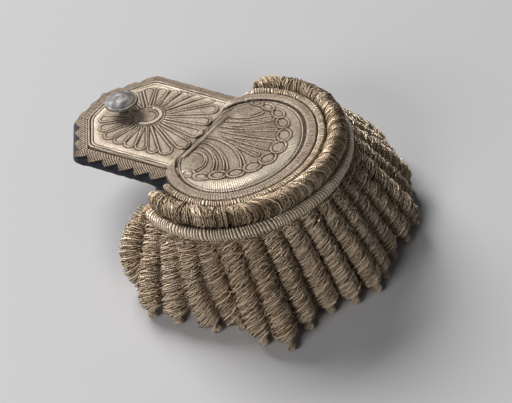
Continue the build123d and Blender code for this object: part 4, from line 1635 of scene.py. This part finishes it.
# %% [markdown]
# The button is a small domed one, worn to dull pewter grey, with a thick rounded edge that
# still shows a little brass. It could keep the measured solid, but its face has small dents and
# a faint ring where the shell was pressed over its back, so it is turned afresh from a profile
# and dented by noise. Its edge, its back and its shank come from the same profile.

# %% Button
button_reach = 64.0
button_radius = 7.9
button_seat = 0.65
dome_foot = 6.95
dome_height = 1.9
dome_radius = 7.35
edge_height = 6.4
edge_radius = 0.55
shank_radius = 2.2
dented_rows = 16


def button_profile():
    """Radius and height of the button's rows, from the top of its dome to the foot of its shank."""
    profile = [(0.0, dome_foot + dome_height)]
    for radius in np.linspace(0.5, 6.6, 13):
        ring = 0.03 * math.sin(radius * 2.2)
        profile.append((radius, dome_foot + dome_height * (1 - (radius / dome_radius) ** 2) + ring))
    profile += [(6.9, dome_foot + 0.1), (7.15, dome_foot + 0.16), (7.5, dome_foot + 0.1)]
    for turn in np.linspace(0.5, 3.1, 8):
        out, up = edge_radius * math.sin(turn), edge_radius * math.cos(turn)
        profile.append((dome_radius + out, edge_height + up))
    profile += [(6.0, 5.7), (3.4, 5.45), (2.4, 5.1)]
    profile += [(shank_radius, 4.4), (shank_radius, 0.2), (2.0, 0.02), (0.0, 0.0)]
    return np.array(profile)


def button_part(around=72):
    """Part of the button, turned round its shank."""
    profile = button_profile()
    radii, heights = profile[:, :1], profile[:, 1:]
    turn = 2 * np.pi * np.arange(around) / around
    points = np.stack([radii * np.cos(turn), radii * np.sin(turn), heights + 0 * turn], -1)
    for row in points[1:dented_rows]:
        for point in row:
            point[2] += 0.14 * noise.noise(Vector((point[0], point[1], 2.0)) * 0.34)
    points[..., 0] -= button_reach
    points[..., 2] += button_seat
    marks = {
        "height": np.repeat(profile[:, 1], around),
        "side": (radii * np.cos(turn - math.radians(20))[None]).ravel() / button_radius,
    }
    return standing(points.reshape(-1, 3)), [ring_quads(len(profile), around)[:, ::-1]], marks


def close_on_axis(piece):
    """Merges the points on the axis, so that the turned mesh is closed."""
    body = bmesh.new()
    body.from_mesh(piece.data)
    bmesh.ops.remove_doubles(body, verts=body.verts, dist=1e-6)
    bmesh.ops.recalc_face_normals(body, faces=body.faces)
    body.to_mesh(piece.data)
    body.free()
    piece.data.shade_smooth()


button_shape = button_part()
print("button is", round(2 * float(button_profile()[:, 0].max()), 1), "mm across")

# %% [markdown]
# The button's grey is the pewter-like look of worn plating, patchy from handling, and on its
# edge, where it was rubbed most, the brass below shows through. One ramp gives the grey, and a
# mix with brass is steered by two numbers kept on the points: the height, for the edge, and how
# far a point lies towards the side that is worn the most.

# %% Finish of the button
brass_showing = (0.27, 0.235, 0.165, 1)


def button_material():
    """Pewter grey with scuffs, and the brass showing on the edge."""
    material, tree, shader = new_material("worn_button_metal", metallic=0.6, roughness=0.4)
    tone = plus(tree, times(tree, blotches(tree, 3.5, 5), 0.8), times(tree, blotches(tree, 0.9, 3), 0.25))
    face = ramp(tree, tone, (0.3, (0.05, 0.048, 0.048)), (0.52, (0.125, 0.118, 0.118)),
                (0.8, (0.31, 0.295, 0.285)))
    edge = spread(tree, mark(tree, "height"), 6.5, 7.0, 0.75, 0.0)
    worn = plus(tree, mark(tree, "side"), times(tree, blotches(tree, 2.5), 0.6))
    edge = reckon(tree, "MAXIMUM", edge, spread(tree, worn, 0.75, 1.0, 0.0, 0.8))
    tree.links.new(mixed(tree, edge, face, brass_showing), shader.inputs["Base Color"])
    tree.links.new(spread(tree, tone, 0.3, 0.8, 0.65, 0.42), shader.inputs["Roughness"])
    bumped(tree, shader, tone, 0.2)
    return material


button = make_piece("button_turned", button_shape, button_material(), ["button"])
close_on_axis(button)

# %% [markdown]
# Under the strap, where the photograph doesn't reach, a plain brass tongue slides into a loop
# on the coat. Its measured shape is right as it is, so it stays and only gets its finish:
# rolled brass, brown with age, with fine scratches along its length.

# %% Brass tongue
def tongue_material():
    """Rolled brass with scratches along it."""
    material, tree, shader = new_material("rolled_brass", metallic=0.95, roughness=0.4)
    place = add(tree, "TexCoord").outputs["Object"]
    stretched = add(tree, "Mapping", [("Vector", place), ("Scale", (60.0, 2600.0, 600.0))]).outputs["Vector"]
    lines = add(tree, "TexNoise", [("Vector", stretched), ("Scale", 1.0), ("Detail", 3.0)]).outputs["Fac"]
    tone = plus(tree, times(tree, lines, 0.5), times(tree, blotches(tree, 5, 4), 0.5))
    colour = ramp(tree, tone, (0.3, (0.16, 0.11, 0.05)), (0.55, (0.45, 0.33, 0.15)),
                  (0.8, (0.66, 0.51, 0.26)))
    tree.links.new(colour, shader.inputs["Base Color"])
    bumped(tree, shader, lines, 0.03)
    return material


tongue = frame["nodes"]["shoulder_tongue"]
tongue.data.materials.clear()
tongue.data.materials.append(tongue_material())
print("tongue keeps its measured mesh")

# %% [markdown]
# Last come the sums: how many triangles the dressed pieces have.

# %% Measure and finish
import json

shown = [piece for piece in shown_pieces() if "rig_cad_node" not in piece]
corners_of_all = [len(polygon.vertices) for piece in shown for polygon in piece.data.polygons]
print("triangles in all:", sum(corners - 2 for corners in corners_of_all))
